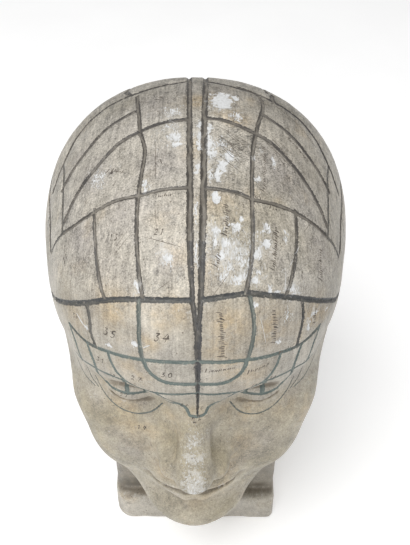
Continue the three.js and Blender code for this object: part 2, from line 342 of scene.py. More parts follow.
def slope(p):
    h = 0.01
    here = field(p)
    parts = [(field(p + h * axis) - here) / h for axis in np.eye(3)]
    return here, np.stack(parts, 1)


def settle(p, passes=2):
    """Moves points onto the surface."""
    for _ in range(passes):
        value, gradient = slope(p)
        size = np.maximum((gradient ** 2).sum(1), 0.2)
        step = np.clip(value / size, -NET_STEP / 2, NET_STEP / 2)
        p = p - gradient * step[:, None]
    return p


def surface_net(low, high, step):
    """A net over the zero surface: a point in each cell that it cuts, a quad round each cut."""
    lines = [np.arange(a, b + step, step) for a, b in zip(low, high)]
    grid = np.stack(np.meshgrid(*lines, indexing="ij"), -1)
    value = field(grid.reshape(-1, 3)).reshape(grid.shape[:3])
    inside = value < 0
    cells = tuple(n - 1 for n in grid.shape[:3])
    cuts = np.zeros(cells)
    total = np.zeros(cells + (3,))

    def window(array, offset):
        return array[tuple(slice(o, o + n) for o, n in zip(offset, cells))]

    for corner in np.ndindex(2, 2, 2):
        for axis in range(3):
            if corner[axis]:
                continue
            other = list(corner)
            other[axis] = 1
            a, b = window(value, corner), window(value, other)
            cut = (a < 0) != (b < 0)
            share = np.where(cut, a / np.where(a == b, 1, a - b), 0)[..., None]
            start, end = window(grid, corner), window(grid, other)
            total += np.where(cut[..., None], start + (end - start) * share, 0)
            cuts += cut
    used = cuts > 0
    number = np.full(cells, -1)
    number[used] = np.arange(used.sum())
    points = total[used] / cuts[used][:, None]
    quads = []
    for axis in range(3):
        near = [slice(1, n - 1) for n in grid.shape[:3]]
        near[axis] = slice(0, grid.shape[axis] - 1)
        far = list(near)
        far[axis] = slice(1, grid.shape[axis])
        first = inside[tuple(near)]
        found = np.argwhere(first != inside[tuple(far)])
        base = found + [0 if i == axis else 1 for i in range(3)]
        ring = []
        for u, v in ((1, 1), (0, 1), (0, 0), (1, 0)):
            cell = base.copy()
            cell[:, (axis + 1) % 3] -= u
            cell[:, (axis + 2) % 3] -= v
            ring.append(number[tuple(cell.T)])
        quad = np.stack(ring, 1)
        outward = ~first[tuple(found.T)]
        quad[outward] = quad[outward][:, ::-1]
        quads.append(quad)
    quads = np.concatenate(quads)
    return points, np.concatenate((quads[:, [0, 1, 2]], quads[:, [0, 2, 3]]))


def edges_of(faces):
    """Each edge once, and the edge numbers of each face."""
    sides = np.sort(faces[:, [[0, 1], [1, 2], [2, 0]]].reshape(-1, 2), axis=1)
    edges, index = np.unique(sides, axis=0, return_inverse=True)
    return edges, index.reshape(-1, 3)


def split_edges(points, faces, index, cut, places):
    """Splits the chosen edges at the given places, and the faces beside them."""
    number = np.cumsum(cut) - 1 + len(points)
    points = np.concatenate((points, settle(places)))
    marks = cut[index]
    count = marks.sum(1)
    # each face is turned until its cut edges come first
    first = np.where(count == 1, marks.argmax(1), 0)
    first = np.where(count == 2, ((~marks).argmax(1) + 1) % 3, first)
    turn = (np.arange(3) + first[:, None]) % 3
    corner = np.take_along_axis(faces, turn, 1)
    half = number[np.take_along_axis(index, turn, 1)]
    a, b, c = corner.T
    ab, bc, ca = half.T
    whole, one, two, three = (count == n for n in range(4))
    pieces = [
        faces[whole],
        np.stack((a, ab, c), 1)[one],
        np.stack((ab, b, c), 1)[one],
        np.stack((ab, b, bc), 1)[two],
        np.stack((a, ab, bc), 1)[two],
        np.stack((a, bc, c), 1)[two],
        np.stack((a, ab, ca), 1)[three],
        np.stack((ab, b, bc), 1)[three],
        np.stack((ca, bc, c), 1)[three],
        np.stack((ab, bc, ca), 1)[three],
    ]
    return points, np.concatenate(pieces)


def split_long(points, faces, limit_at):
    """Splits every edge that is longer than the limit at its middle."""
    edges, index = edges_of(faces)
    ends = points[edges]
    middle = ends.mean(1)
    cut = np.linalg.norm(ends[:, 0] - ends[:, 1], axis=1) > limit_at(middle)
    return split_edges(points, faces, index, cut, middle[cut])


# Edges are split on a line where both ends are this close to its middle, on the same stretch
# of it in samples, and not nearer to an end than a share of the edge.
CUT_REACH = 1.7
CUT_STRETCH = 8
CUT_SHARE = 0.15


def split_on_lines(points, faces, lines):
    """Splits the edges that cross the middle of a line where they cross it."""
    edges, index = edges_of(faces)
    row, gap = lines.look(points)
    offset = ((points - lines.rows[row, :3]) * lines.sideways[row]).sum(1)
    first, second = offset[edges].T
    near = (gap[edges] < CUT_REACH).all(1)
    near &= np.abs(np.diff(row[edges], axis=1))[:, 0] < CUT_STRETCH
    share = np.abs(first) / (np.abs(first) + np.abs(second) + 1e-9)
    cut = near & (first * second < 0) & (share > CUT_SHARE) & (share < 1 - CUT_SHARE)
    ends = points[edges[cut]]
    places = ends[:, 0] + (ends[:, 1] - ends[:, 0]) * share[cut, None]
    return split_edges(points, faces, index, cut, places)


def row_point(side, front, up):
    return np.array((side, -front - HEAD_FORWARD, up + EYE_LEVEL), float)


def skin(start, direction):
    """Where a ray from inside the head, going outward, leaves it for good."""
    direction = np.asarray(direction, float)
    reach = np.arange(150, 0, -1.0)
    values = field(start + reach[:, None] * direction)
    first = int(np.argmax(values < 0))
    t = reach[first] + values[first] / (values[first] - values[first - 1])
    return settle((start + t * direction)[None], 3)[0]


def over(side, angle):
    """A point on the skull by its side and its angle over the cross axis."""
    turn = math.radians(angle)
    start = row_point(side, AXIS_FRONT, AXIS_UP)
    return skin(start, (0, -math.cos(turn), math.sin(turn)))


def ahead(side, up):
    """A point on the front of the head by its side and height."""
    return skin(row_point(side, 0, up), (0, -1, 0))


def beside(hand, front, up):
    """A point on one flank of the head: hand is 1 or -1."""
    return skin(row_point(0, front, up), (hand, 0, 0))


def spline(points, counts):
    """A smooth curve through points, with a count of samples for each stretch of it."""
    points = np.asarray(points, float)
    ends = np.concatenate((2 * points[:1] - points[1:2], points, 2 * points[-1:] - points[-2:-1]))
    out = []
    for count, a, b, c, d in zip(counts, ends, ends[1:], ends[2:], ends[3:]):
        t = (np.arange(count) / count)[:, None]
        out.append(0.5 * (2 * b + (c - a) * t + (2 * a - 5 * b + 4 * c - d) * t ** 2
                          + (3 * b - a - 3 * c + d) * t ** 3))
    out.append(points[-1:])
    return np.concatenate(out)


def curve_through(points, spacing=0.5):
    """A smooth curve through points, sampled evenly and laid on the surface."""
    gaps = np.linalg.norm(np.diff(points, axis=0), axis=1)
    return settle(spline(points, np.maximum(gaps / spacing, 2).astype(int)))


# Region lines. Each kind has its half width, its groove depth as a share, its tint from
# grey, 0, to blue-green, 1, and its darkness.
MIDDLE = (1.5, 1.2, 0.0, 0.15)
MIDDLE_LOW = (1.5, 1.2, 0.05, 0.8)
MERGED = (1.5, 1.2, 0.05, 1.0)
BAND = (1.5, 1.1, 0.15, 1.0)
PLAIN = (1.15, 1.0, 0.0, 0.15)
PLAIN_DARK = (1.05, 0.9, 0.1, 0.6)
ARC = (1.55, 0.8, 0.0, 0.4)
ARC_THIN = (1.5, 0.7, 0.0, 0.5)
LOWER = (1.15, 0.8, 0.6, 0.1)
BROW = (1.25, 0.6, 0.9, 0.1)
BROW_DARK = (1.25, 0.6, 0.5, 0.75)
BROW_THIN = (0.95, 0.5, 0.9, 0.25)
FINE = (0.95, 0.5, 0.1, 0.4)
HAIR = (0.45, 0.15, 0.6, 0.3)

# The two lines beside the middle as (side, angle, half width)
MIDDLE_LINES = (
    (MIDDLE, ((-4, 125, 1.5), (-3.6, 100, 1.6), (-3.1, 82, 1.6), (-2.5, 59, 1.7), (-2, 38, 1.75))),
    (MIDDLE_LOW, ((-2, 38, 1.75), (-1.4, 30, 1.6), (-0.7, 23, 1.3), (0.1, 18.5, 1.2), (0.9, 15, 1.1))),
    (MIDDLE, ((5, 125, 1.5), (4.5, 100, 1.7), (4.1, 82, 1.7), (3.9, 59, 1.75), (3.5, 38, 1.85))),
    (MIDDLE_LOW, ((3.5, 38, 1.85), (3.2, 30, 1.75), (2.9, 23, 1.5), (2.4, 18.5, 1.3), (1.9, 15, 1.1))),
)

SKULL_LINES = (
    (BAND, ((-69, 9), (-60, 14.5), (-50, 18), (-41, 20.5), (-30, 22), (-16, 22.7), (-2, 23))),
    (BAND, ((3, 23), (18, 24), (26, 24), (45, 21), (60, 16), (71, 7))),
    # beside the middle, left and right
    (PLAIN, ((-31, 106), (-29, 93), (-27, 79), (-24, 67), (-26, 51), (-26, 38), (-23, 22.5))),
    (PLAIN, ((22, 113), (29, 111), (33.5, 105), (34, 98), (30, 82), (27, 68), (26, 50), (26, 36),
             (23, 24))),
    (LOWER, ((-25, 22.4), (-25, 16), (-25, 11), (-24, 5))),
    (LOWER, ((25, 23), (27, 17), (27, 12), (25, 5))),
    # further out
    (PLAIN, ((-47, 48), (-46, 38), (-44, 28), (-41, 20.6))),
    (PLAIN, ((47, 48), (47, 38), (45, 28), (42, 22))),
    (PLAIN_DARK, ((-50, 18), (-49, 13), (-49, 8), (-47, 3))),
    (PLAIN_DARK, ((50, 20), (51, 13), (50, 7), (49, 3))),
    # arcs from the middle outward
    (ARC_THIN, ((-6, 115), (-22, 111), (-37, 109), (-52, 107), (-62, 101), (-69, 88), (-74, 73))),
    (ARC_THIN, ((6, 115), (22, 111), (37, 109), (52, 107), (62, 101), (69, 88), (74, 73))),
    (ARC, ((-31, 93), (-44, 88), (-55, 79), (-67, 65))),
    (ARC, ((33, 93), (44, 88), (56, 79), (67, 65))),
    (ARC, ((-4, 83), (-15, 82), (-26, 79), (-37, 75), (-47, 67), (-56, 58), (-64, 44))),
    (ARC, ((5, 84), (15, 83), (27, 79), (38, 75), (48, 67), (57, 57), (64, 44))),
    (PLAIN, ((-4, 53), (-15, 52.5), (-26, 51), (-37, 50), (-47, 47), (-57, 43), (-64, 40))),
    (PLAIN, ((4, 53), (18, 52), (27, 50), (38, 49), (48, 47), (58, 43), (64, 39))),
    (FINE, ((-64, 40), (-69, 35), (-71.5, 30))),
    (FINE, ((64, 39), (69, 34), (71.5, 29))),
    (FINE, ((-69, 88), (-67, 75), (-66, 59), (-64, 40))),
    (FINE, ((69, 88), (67, 75), (66, 59), (64, 39))),
    (ARC, ((-38, 118), (-36, 112), (-34, 109))),
    (ARC, ((41, 118), (40, 112), (42, 108))),
)

# Lines of the brow, seen from the front as (side, up) on one half. Both halves have them.
BROW_LINES = (
    (BROW, ((0, 40), (16, 39), (26, 37.7), (33, 36.6), (41, 35.3), (46, 34.2))),
    (BROW_DARK, ((46, 34.2), (50, 33.6), (55, 34), (61, 36))),
    (BROW_THIN, ((61, 36), (60, 31), (58, 24), (56, 17))),
    (BROW, ((24, 37.7), (22, 31), (18, 26.3), (12, 24.3), (0, 24))),
    (BROW_THIN, ((41, 35), (39.5, 27.5), (36, 20), (30, 15), (22, 14), (12, 16), (0, 16.4))),
    (BROW_THIN, ((67, 14), (60, 16.5), (54, 16.5), (48, 16.5), (43, 16.5), (38, 16.2), (33, 17))),
    (BROW_THIN, ((52, 33.5), (50, 26), (48.5, 18), (48, 9), (46, 3.5), (42, 1))),
    (BROW_THIN, ((42, 1), (34, 0.5), (25, 0.8), (18, 2), (11, 4.5))),
    (BROW, ((34, 16.5), (34, 8), (34, 0.5))),
    (BROW, ((25, 14), (25, 7), (25, 0.8))),
    (BROW_THIN, ((19, 13.5), (13, 8), (8, 4), (5.6, 2), (4.6, -0.5), (3.5, -2.3), (0, -2.8))),
    (HAIR, ((56, 17), (56, 6), (54, -2), (50, -7))),
    (HAIR, ((67, 14), (64, 2), (59, -5), (52, -8))),
    (HAIR, ((17, -4), (23, -13), (32, -17), (41, -14.5), (48, -7), (51, 1))),
)

# Lines of the flanks as (front, up), and of the back as (side, angle), on one half.
FLANK_LINES = (
    (BAND, ((50, 38), (30, 30), (8, 27), (-20, 29), (-52, 26), (-80, 16), (-90, 14))),
    (ARC, ((35, 56), (12, 62), (-20, 62), (-50, 54), (-74, 43), (-86, 42))),
    (FINE, ((18, 28), (15, 44), (12, 62))),
    (FINE, ((-21, 29), (-24, 46), (-26, 61.5))),
    (FINE, ((-52, 26), (-53, 40), (-52, 53))),
    (FINE, ((-32, 28), (-46, 8), (-50, -14), (-44, -34))),
)
BACK_LINES = (
    (MIDDLE, ((4.5, 125), (4.5, 150), (4.5, 175), (4.5, 195), (3, 208))),
    (PLAIN, ((38, 118), (36, 132), (33, 150), (31, 173))),
    (ARC, ((5, 142), (20, 142), (33, 141), (52, 137), (66, 130), (74, 125.5), (79, 119.5))),
    (PLAIN, ((5, 175), (30, 174), (48, 172), (58, 170.5))),
    (BAND, ((5, 196), (24, 195), (42, 193), (55, 191.5))),
)
MIDDLE_SHIFT = 1.7  # the merged middle line stands a little to one side
TAPER_END = -1.5  # height on the nose root where the merged middle line ends


def region_lines():
    """Every line as (kind, samples on the surface, half width at each sample)."""
    made = []

    def add(kind, samples):
        made.append((kind, samples, np.full(len(samples), kind[0])))

    for kind, points in SKULL_LINES:
        add(kind, curve_through([over(*p) for p in points]))
    for hand in (1, -1):
        for kind, points in BROW_LINES:
            add(kind, curve_through([ahead(hand * s + drift(s), up) for s, up in points]))
        for kind, points in FLANK_LINES:
            add(kind, curve_through([beside(hand, *p) for p in points]))
        for kind, points in BACK_LINES:
            add(kind, curve_through([over(hand * s, a) for s, a in points]))
    for kind, points in MIDDLE_LINES:
        samples = curve_through([over(side, angle) for side, angle, _ in points])
        marks = np.linspace(0, len(samples) - 1, len(points))
        widths = np.interp(np.arange(len(samples)), marks, [p[2] for p in points])
        made.append((kind, samples, widths))
    made.append((MERGED, *merged_line()))
    return made


def drift(side):
    """The brow lines meet under the merged middle line, beside the head's own middle."""
    return MIDDLE_SHIFT * math.exp(-(side / 22) ** 2)


def merged_line():
    """The middle lines run together and taper down to the nose root."""
    heights = (60, 47, 35, 20, 5, TAPER_END)
    samples = curve_through([ahead(MIDDLE_SHIFT, up) for up in heights])
    share = np.linspace(0, 1, len(samples))
    return samples, 1.9 - 1.4 * share ** 1.6


# Bare white chips as (side, angle, half width, half length, solidity): solid ones are white
# right through, the others break up into flecks.
CHIPS = (
    # beside the middle, from the crown forward
    (12.4, 96.5, 6.6, 8.6, 2.6), (19.5, 100, 2.2, 2.6, 1.2), (19.4, 86.5, 2.8, 3.6, 0.7),
    (15.7, 65.8, 2.4, 3.9, 2.4), (12.8, 61.5, 2.4, 3.2, 2.0), (10.3, 57.5, 1.8, 3.6, 2.2),
    (9.6, 49.9, 2.0, 3.1, 2.4), (6.6, 78.2, 1.2, 4.2, 1.3), (6.4, 69.7, 1.6, 9, 0.9),
    (8.4, 66.6, 2.4, 3.4, 0.8), (7.2, 57, 1.4, 3.5, 0.7), (12, 71, 2.4, 3, 0.4),
    # between the two middle lines
    (1.6, 80.4, 1.4, 2.9, 1.3), (1.7, 74, 1.2, 4.4, 1.2), (1.8, 68.9, 1.2, 3.6, 1.5),
    (1.2, 60.8, 1.5, 1.9, 1.4), (0.6, 58.2, 1.8, 0.8, 1.2), (0.6, 46, 1.2, 5, 0.45), (1, 34, 1.0, 6, 0.45),
    # the field above the forehead
    (18.4, 41.7, 3.2, 1.4, 1.1), (9.4, 40.5, 1.9, 1.4, 0.8), (9, 37.4, 1.4, 3.2, 1.1),
    (11.8, 34, 1.8, 2.6, 1.2), (15.6, 31.2, 2.2, 2.4, 0.8), (19, 28, 3.4, 2.2, 0.8),
    (22.4, 28.3, 1.5, 1.5, 1.0), (20.7, 43.7, 1.0, 1.3, 0.9), (32.6, 36.9, 2.1, 2.3, 2.0),
    (28, 34.1, 2.6, 2.1, 1.3), (32.6, 41.6, 1.6, 2.9, 0.8), (27, 27.4, 2.1, 1.8, 2.0),
    (28.8, 29.4, 1.8, 1.3, 0.8), (41.3, 39, 1.4, 2.6, 0.5), (25.2, 35.6, 0.5, 3, 0.9),
    (14, 37, 2.6, 2.4, 0.5), (27.5, 39, 1.6, 3, 0.5), (21, 33, 4, 4, 0.36), (13, 28.6, 2, 1.8, 0.4),
    # along the upper line of the forehead
    (45.2, 23.6, 3.1, 1.8, 1.1), (34, 24.3, 1.2, 1.9, 1.4), (37.6, 23.6, 3.2, 0.6, 1.0),
    (46.9, 22, 4.2, 0.5, 1.1), (27.2, 21, 1.3, 1.6, 0.9), (65, 10, 3, 0.7, 0.8),
    # on the other half
    (-9.9, 73.4, 3.4, 3.6, 0.75), (-8.9, 70.2, 2.8, 1.0, 1.1), (-11.5, 88.8, 3.4, 4.6, 0.5),
    (-12, 80, 2.6, 4, 0.3), (-12, 33, 2.6, 2.8, 0.6), (-25, 26, 2.0, 2.6, 0.5), (-27, 9.5, 1.8, 2.3, 1.2),
    (-51, 9, 1.2, 1.6, 1.4), (-40, 6, 2.8, 1.1, 1.0), (-23, 54, 1.8, 3.4, 0.45), (-46, 60, 4, 4, 0.28),
    # on the outer forehead
    (37, 66, 0.9, 3.4, 0.7), (29, 57.5, 2.4, 1.5, 0.7), (27.3, 66, 0.9, 1.7, 1.2),
    (57, 12.5, 3.2, 1.3, 0.8), (54.5, 8.5, 1.2, 2.4, 1.1), (43, 15, 2.4, 2.6, 0.35), (39, 8, 3, 0.9, 0.6),
)

# Soft round areas as (side, angle, radius, strength). Worn ones are rubbed pale, warm ones
# ochre, cool ones greyer, pale ones lighter, partly as painted sheen on the forehead, hatched
# ones brushed aslant, dusky ones smudged and shaded ones darker.
SPOTS = {
    "worn": (
        (0, -20, 5, 0.5), (0, -22.5, 6, 0.8), (0, -25, 7, 0.95), (0, -27, 8, 1.0), (0, -29.5, 8, 1.05),
        (4, -28, 6, 0.6), (-4, -28, 6, 0.6), (0, -17, 5, 0.3), (12, -30, 5, 0.3), (37, -72.5, 6, 1.0),
        (16, 35, 14, 0.95), (23, 31, 12, 0.85), (10, 40, 9, 0.7), (30, 36, 9, 0.6), (11, 63, 12, 0.6),
        (8, 70, 8, 0.5), (14, 92, 13, 0.5), (-11, 74, 11, 0.7), (-13, 86, 9, 0.5), (-13, 33, 8, 0.5),
        (-24, 24, 8, 0.5), (44, 23, 10, 0.6), (55, 12, 7, 0.6), (42, 13, 10, 0.3), (1, 75, 6, 0.7),
        (-45, 62, 10, 0.35), (30, 70, 8, 0.4), (0, 20, 8, 0.4),
    ),
    "warm": (
        (-36, -27, 9, 0.7), (-24, -32, 8, 0.6), (26, -26, 9, 0.7), (14, -20, 6, 0.6), (-12, -22, 6, 0.5),
        (-14, -34, 6, 0.7), (15, -34, 6, 0.5), (0, -39, 10, 0.8), (-16, -41, 9, 0.6), (20, -41, 8, 0.6),
        (0, -48, 9, 0.4), (-44, -20, 8, 0.5), (-34, -33, 9, 0.6), (24, -36, 8, 0.6), (46, -30, 9, 0.4),
        (0, -17, 5, 0.5), (0, -50, 8, 0.4), (-9, 20, 8, 0.7), (-38, 18.5, 10, 0.8), (-21, 10, 5, 0.6),
        (16, 16, 10, 0.8), (12, 10, 9, 0.7), (34, 14, 12, 0.7), (58, 13, 8, 0.9), (20, 2, 10, 0.7),
        (27, -3, 9, 0.6), (-26, -4, 10, 0.4), (0.5, 95, 6, 0.9), (0.5, 68, 7, 0.6), (23, 85, 7, 0.4),
        (-6, 34, 8, 0.4), (10, 48, 10, 0.4), (-14, 44, 8, 0.25), (5, 30, 9, 0.4), (-58, 10, 9, 0.6),
    ),
    "cool": (
        (52, -20, 8, 0.6), (54, -12, 7, 0.5), (-30, -20, 8, 0.4), (34, -20, 7, 0.5), (-52, -30, 9, 0.4),
        (36, -38, 9, 0.4), (8, -24, 5, 0.4), (-34, -40, 10, 0.4), (0, -58, 10, 0.3), (-34, 45, 12, 0.6),
        (-53, 38, 12, 0.8), (-40, 30, 10, 0.4), (-50, 62, 12, 0.7), (-16, 63, 13, 0.7), (-11, 33, 6, 0.8),
        (-20, 92, 13, 0.6), (-36, 84, 12, 0.4), (40, 62, 13, 0.7), (52, 52, 12, 0.5), (60, 34, 13, 0.7),
        (36, 34, 9, 0.4), (40, 9, 9, 0.4), (16, 103, 10, 0.4), (-60, 78, 10, 0.4), (66, 60, 10, 0.3),
        (-62, 50, 10, 0.4),
    ),
    # painted sheen on the forehead, and lighter plaster between the middle lines
    "pale": (
        (-20, 18, 9, 1.0), (-14, 12, 10, 0.4), (-8, 36, 8, 0.7), (-36, 12, 8, 0.3), (-17, 44, 9, 0.3),
        (20, 18, 8, 0.4), (-12, 27, 9, 0.4), (-30, 70, 10, 0.3), (38, 64, 9, 0.3), (1.3, 42, 6, 0.9),
        (1.2, 58, 6, 0.6), (1.1, 69, 6, 0.5), (1.6, 24, 5, 0.6),
    ),
    "hatched": (
        (22, 72, 20, 1.0), (14, 84, 12, 0.7), (42, 68, 16, 0.8), (-30, 60, 16, 0.4), (10, 44, 12, 0.4),
        (48, 88, 14, 0.5), (-42, 85, 16, 0.4),
    ),
    "dusky": (
        (-20, 100, 12, 0.6), (-44, 96, 10, 0.5), (-17, 63, 8, 0.6), (-15, 31, 5, 0.9), (-50, 33, 9, 0.6),
        (30, 100, 10, 0.5), (26, 84, 6, 0.5), (20, 80, 5, 0.7), (36, 76, 8, 0.5), (50, 62, 10, 0.5),
        (60, 45, 12, 0.7), (64, 28, 10, 0.6), (31, 33, 6, 0.6), (48, 32, 7, 0.5), (62, 80, 12, 0.6),
        (-64, 60, 8, 0.4), (-40, 38, 6, 0.5), (-12, 92, 6, 0.4), (8, 34, 6, 0.4),
    ),
    "shaded": (
        (0, 118, 40, 1.1), (-42, 110, 34, 1.0), (42, 110, 32, 0.9), (12, 96, 22, 0.6), (-18, 92, 20, 0.5),
        (-70, 80, 26, 0.6), (-72, 42, 20, 0.6), (-76, 20, 18, 0.9), (-74, 60, 24, 0.5), (-50, 70, 24, 0.5),
        (-62, 45, 22, 0.65), (18, 52, 20, 0.5), (42, 50, 26, 0.45), (17, 72, 16, 0.6),
        (44, 12, 20, 0.6), (62, 12, 18, 1.1), (26, 10, 15, 0.7), (40, -4, 18, 0.7), (15, -4, 14, 0.6),
        (-63, 12, 14, 0.7), (-18, -4, 12, 0.4), (70, 70, 26, 0.3), (10, 32, 10, 0.3), (-52, 28, 15, 0.5),
        (-10, 4, 13, 0.8), (38, 27, 9, 0.6), (2, -4, 8, 0.5), (-27, 13, 8, 0.6), (6, 5, 12, 0.4),
        (52, 16.5, 9, 1.2), (-24, 3, 16, 0.4), (-48, 10, 14, 0.6), (-48, 17, 10, 0.9), (30, 16, 12, 0.4),
        (-26, 27, 8, 0.4), (-14, 27, 8, 0.5), (14, 27, 10, 0.4),
    ),
}


def soft_spots(points, spots):
    """The strongest of some soft round areas at each point."""
    total = np.zeros(len(points))
    for side, angle, radius, strength in spots:
        gap = np.linalg.norm(points - over(side, angle), axis=1)
        total = np.maximum(total, strength * np.exp(-(gap / radius) ** 2))
    return total


def ragged(points, size):
    """A bumpy value between about -1 and 1 with features of the given size."""
    p = points * (2 * math.pi / size)
    total = np.sin(p[:, 0] + 1.7 * np.sin(0.7 * p[:, 1] + 0.4))
    total += np.sin(p[:, 1] * 1.13 + 1.5 * np.sin(0.8 * p[:, 2] + 1.1))
    total += np.sin(p[:, 2] * 0.94 + 1.6 * np.sin(0.75 * p[:, 0] + 2.3))
    return total / 3


def uneven(points, waves):
    """Several bumpy values together, each with its own height and size."""
    return sum(height * ragged(points, size) for height, size in waves)


def chip_value(points):
    """Positive inside a chip, 0 at its rim, negative outside."""
    value = np.full(len(points), -1.0)
    bent = 0.30 * ragged(points, 7.4) + 0.26 * ragged(points + 5, 3.7)
    for side, angle, half_width, half_length, solidity in CHIPS:
        middle = over(side, angle)
        normal = slope(middle[None])[1][0]
        across = np.cross((0, 1, 0), normal) if abs(normal[0]) > 0.9 else np.array((1.0, 0, 0))
        across = unit(across - normal * (across @ normal) / (normal @ normal))
        along = np.cross(normal, across)
        gap = points - middle
        reach = np.hypot(gap @ across / half_width, gap @ along / half_length)
        reach = np.hypot(reach, gap @ normal / max(half_width, half_length)) + bent
        value = np.maximum(value, solidity * (1 - reach))
    return value


def nearest(tree, points):
    """Number and distance of the nearest place in the tree for each point."""
    found = [tree.find(p) for p in points]
    return np.array([f[1] for f in found]), np.array([f[2] for f in found])


def tree_of(rows):
    tree = KDTree(len(rows))
    for i, row in enumerate(rows):
        tree.insert(row[:3], i)
    tree.balance()
    return tree


WIDTH, DEPTH, TINT, DARK = range(3, 7)  # columns of a line's sample after its place


class LineMap:
    """Finds the nearest region line to a point, and how far inside its paint it lies."""

    def __init__(self):
        kinds = {}
        rows = []
        for kind, samples, widths in region_lines():
            values = np.tile(kind[1:], (len(samples), 1))
            rows.append(np.column_stack((samples, widths, values)))
            kinds.setdefault(kind, []).append(rows[-1])
        tangents = np.concatenate([np.gradient(r[:, :3], axis=0) for r in rows])
        self.rows = np.concatenate(rows)
        self.tree = tree_of(self.rows)
        self.kinds = [np.concatenate(group) for group in kinds.values()]
        self.sideways = np.cross(tangents, slope(self.rows[:, :3])[1])

    def look(self, points):
        return nearest(self.tree, points)

    def strongest(self, points, wobble):
        """Paint value of the line that covers each point most, and that line's row."""
        index, gap = self.look(points)
        value = np.full(len(points), -3.0)
        row = self.rows[index]
        near = np.flatnonzero(gap < LINE_REACH)
        for rows in self.kinds:
            index, gap = nearest(tree_of(rows), points[near])
            found = 1 - gap / (rows[index, WIDTH] * (1 + wobble[near]))
            better = found > value[near]
            value[near[better]] = found[better]
            row[near[better]] = rows[index[better]]
        return value, row


def mesh_of_head(lines):
    room = 4 * NET_STEP
    half_width = SKULL_BREADTH / 2 + room
    half_length = SKULL_LENGTH / 2 + 2 * room
    net_low = (-half_width, -half_length - HEAD_FORWARD, -1.3 * NET_STEP)
    net_high = (half_width, half_length, CHIN_LIFT + HEAD_HEIGHT + room)
    points, faces = surface_net(net_low, net_high, NET_STEP)
    points = settle(points)

    def limit_at(p):
        """The longest edge that is kept at a place."""
        limit = np.full(len(p), PLAIN_EDGE)
        _, gap = lines.look(p)
        for distance, edge in LINE_EDGES:
            limit = np.where(gap < distance, edge, limit)
        limit = np.where(chip_value(p) > CHIP_MARGIN, np.minimum(limit, CHIP_EDGE), limit)
        place = np.column_stack((np.abs(p[:, 0]), -p[:, 1] - HEAD_FORWARD, p[:, 2] - EYE_LEVEL))
        for low, high, edge in FINE_BOXES:
            inside = ((place > low) & (place < high)).all(1)
            limit = np.where(inside, np.minimum(limit, edge), limit)
        foot_edge = np.abs(p[:, 2] - FOOT_HEIGHT) < BLOCK_EDGE_REACH
        foot_edge &= place[:, 1] > BLOCK_EDGE_FRONT
        block_edge = foot_edge | (p[:, 2] < UNDER_BAND)
        return np.where(block_edge, np.minimum(limit, BLOCK_EDGE), limit)

    for _ in range(3):
        points, faces = split_long(points, faces, limit_at)
    return split_on_lines(points, faces, lines)


def relief(points, lines):
    """Presses the lines and chips into the surface and returns the paint values."""
    index, gap = lines.look(points)
    # points on the middle of a line give its groove a clean bottom
    close = gap < LINE_SNAP
    points[close] = lines.rows[index[close], :3]
    line, row = lines.strongest(points, uneven(points, LINE_WAVES))
    # across is positive on the side where the dark core lies as painted shade on the groove's flank
    across = (1 - line) * np.sign((points - row[:, :3]) @ SHADED_FLANK_SIDE)
    chip = chip_value(points)
    _, gradient = slope(points)
    steep = np.linalg.norm(gradient, axis=1)
    normal = gradient / steep[:, None]
    # the surface's hollows get painted shade and dirt, and ridges are rubbed
    above = field(points + HOLLOW_REACH * normal) / steep
    below = field(points - RIDGE_REACH * normal) / steep
    hollow = np.clip((HOLLOW_REACH * FLAT_SHARE - above) / HOLLOW_SPAN, 0, 1)
    ridge = np.clip((RIDGE_REACH * FLAT_SHARE + below) / RIDGE_SPAN, 0, 1)
    press = np.clip(line * 1.4, 0, 1)
    depth = GROOVE_DEPTH * row[:, DEPTH] * press * press * (3 - 2 * press)
    dent = np.clip((chip - 0.1) * 2.5, 0, 1)
    depth = np.maximum(depth, CHIP_DEPTH * dent * (1 + 0.25 * ragged(points, 2)))
    depth += uneven(points, SURFACE_WAVES)
    flat = np.clip(points[:, 2] / UNDER_BAND, 0, 1)
    points = points - normal * (depth * flat)[:, None]
    points[:, 2] = np.maximum(points[:, 2], 0)
    return points, {
        "line": line, "across": across, "tint": row[:, TINT], "dark": row[:, DARK], "chip": chip,
        "hollow": hollow, "ridge": ridge,
    }


# Where the paint of the face and of the skull begins, as the height above the eyes and the
# angle round the cross axis, each with the stretch over which it fades in.
FACE_TOP = 10
FACE_FADE = 30
SKULL_START = 14
SKULL_FADE = 14
BLOCK_TOP = EYE_LEVEL - 40
BLOCK_GAP = 1  # the block begins this far outside the head's own form
BLOCK_FADE = 5


def block_shares(points):
    """The neck and the foot of the block below the head, each near 1 on its own part: the neck's
    share, for painted shade under the head and grime, grows towards the left, and the foot's,
    for wear and painted light, towards the right.
    """
    z = points[:, 2]
    _, head = head_field(points)
    block = np.clip((head - BLOCK_GAP) / BLOCK_FADE, 0, 1) * (z < BLOCK_TOP)
    neck = np.clip((z - FOOT_HEIGHT + 1) / 2, 0, 1)
    left = np.clip(0.5 - points[:, 0] / FOOT_WIDTH, 0, 1)
    return block * neck * (0.75 + 0.35 * left), block * (1 - neck) * (1 - 0.7 * left)


def add_object(name, data):
    made = bpy.data.objects.new(name, data)
    bpy.context.scene.collection.objects.link(made)
    return made


def smooth_mesh(name, points, faces, values):
    """A smooth mesh from points in millimetres, with a value of each name at each point."""
    mesh = bpy.data.meshes.new(name)
    mesh.from_pydata((np.array(points) * MM).tolist(), [], faces)
    mesh.polygons.foreach_set("use_smooth", [True] * len(mesh.polygons))
    for key, value in values.items():
        layer = mesh.attributes.new(key, "FLOAT", "POINT")
        layer.data.foreach_set("value", np.array(value, np.float32))
    return mesh


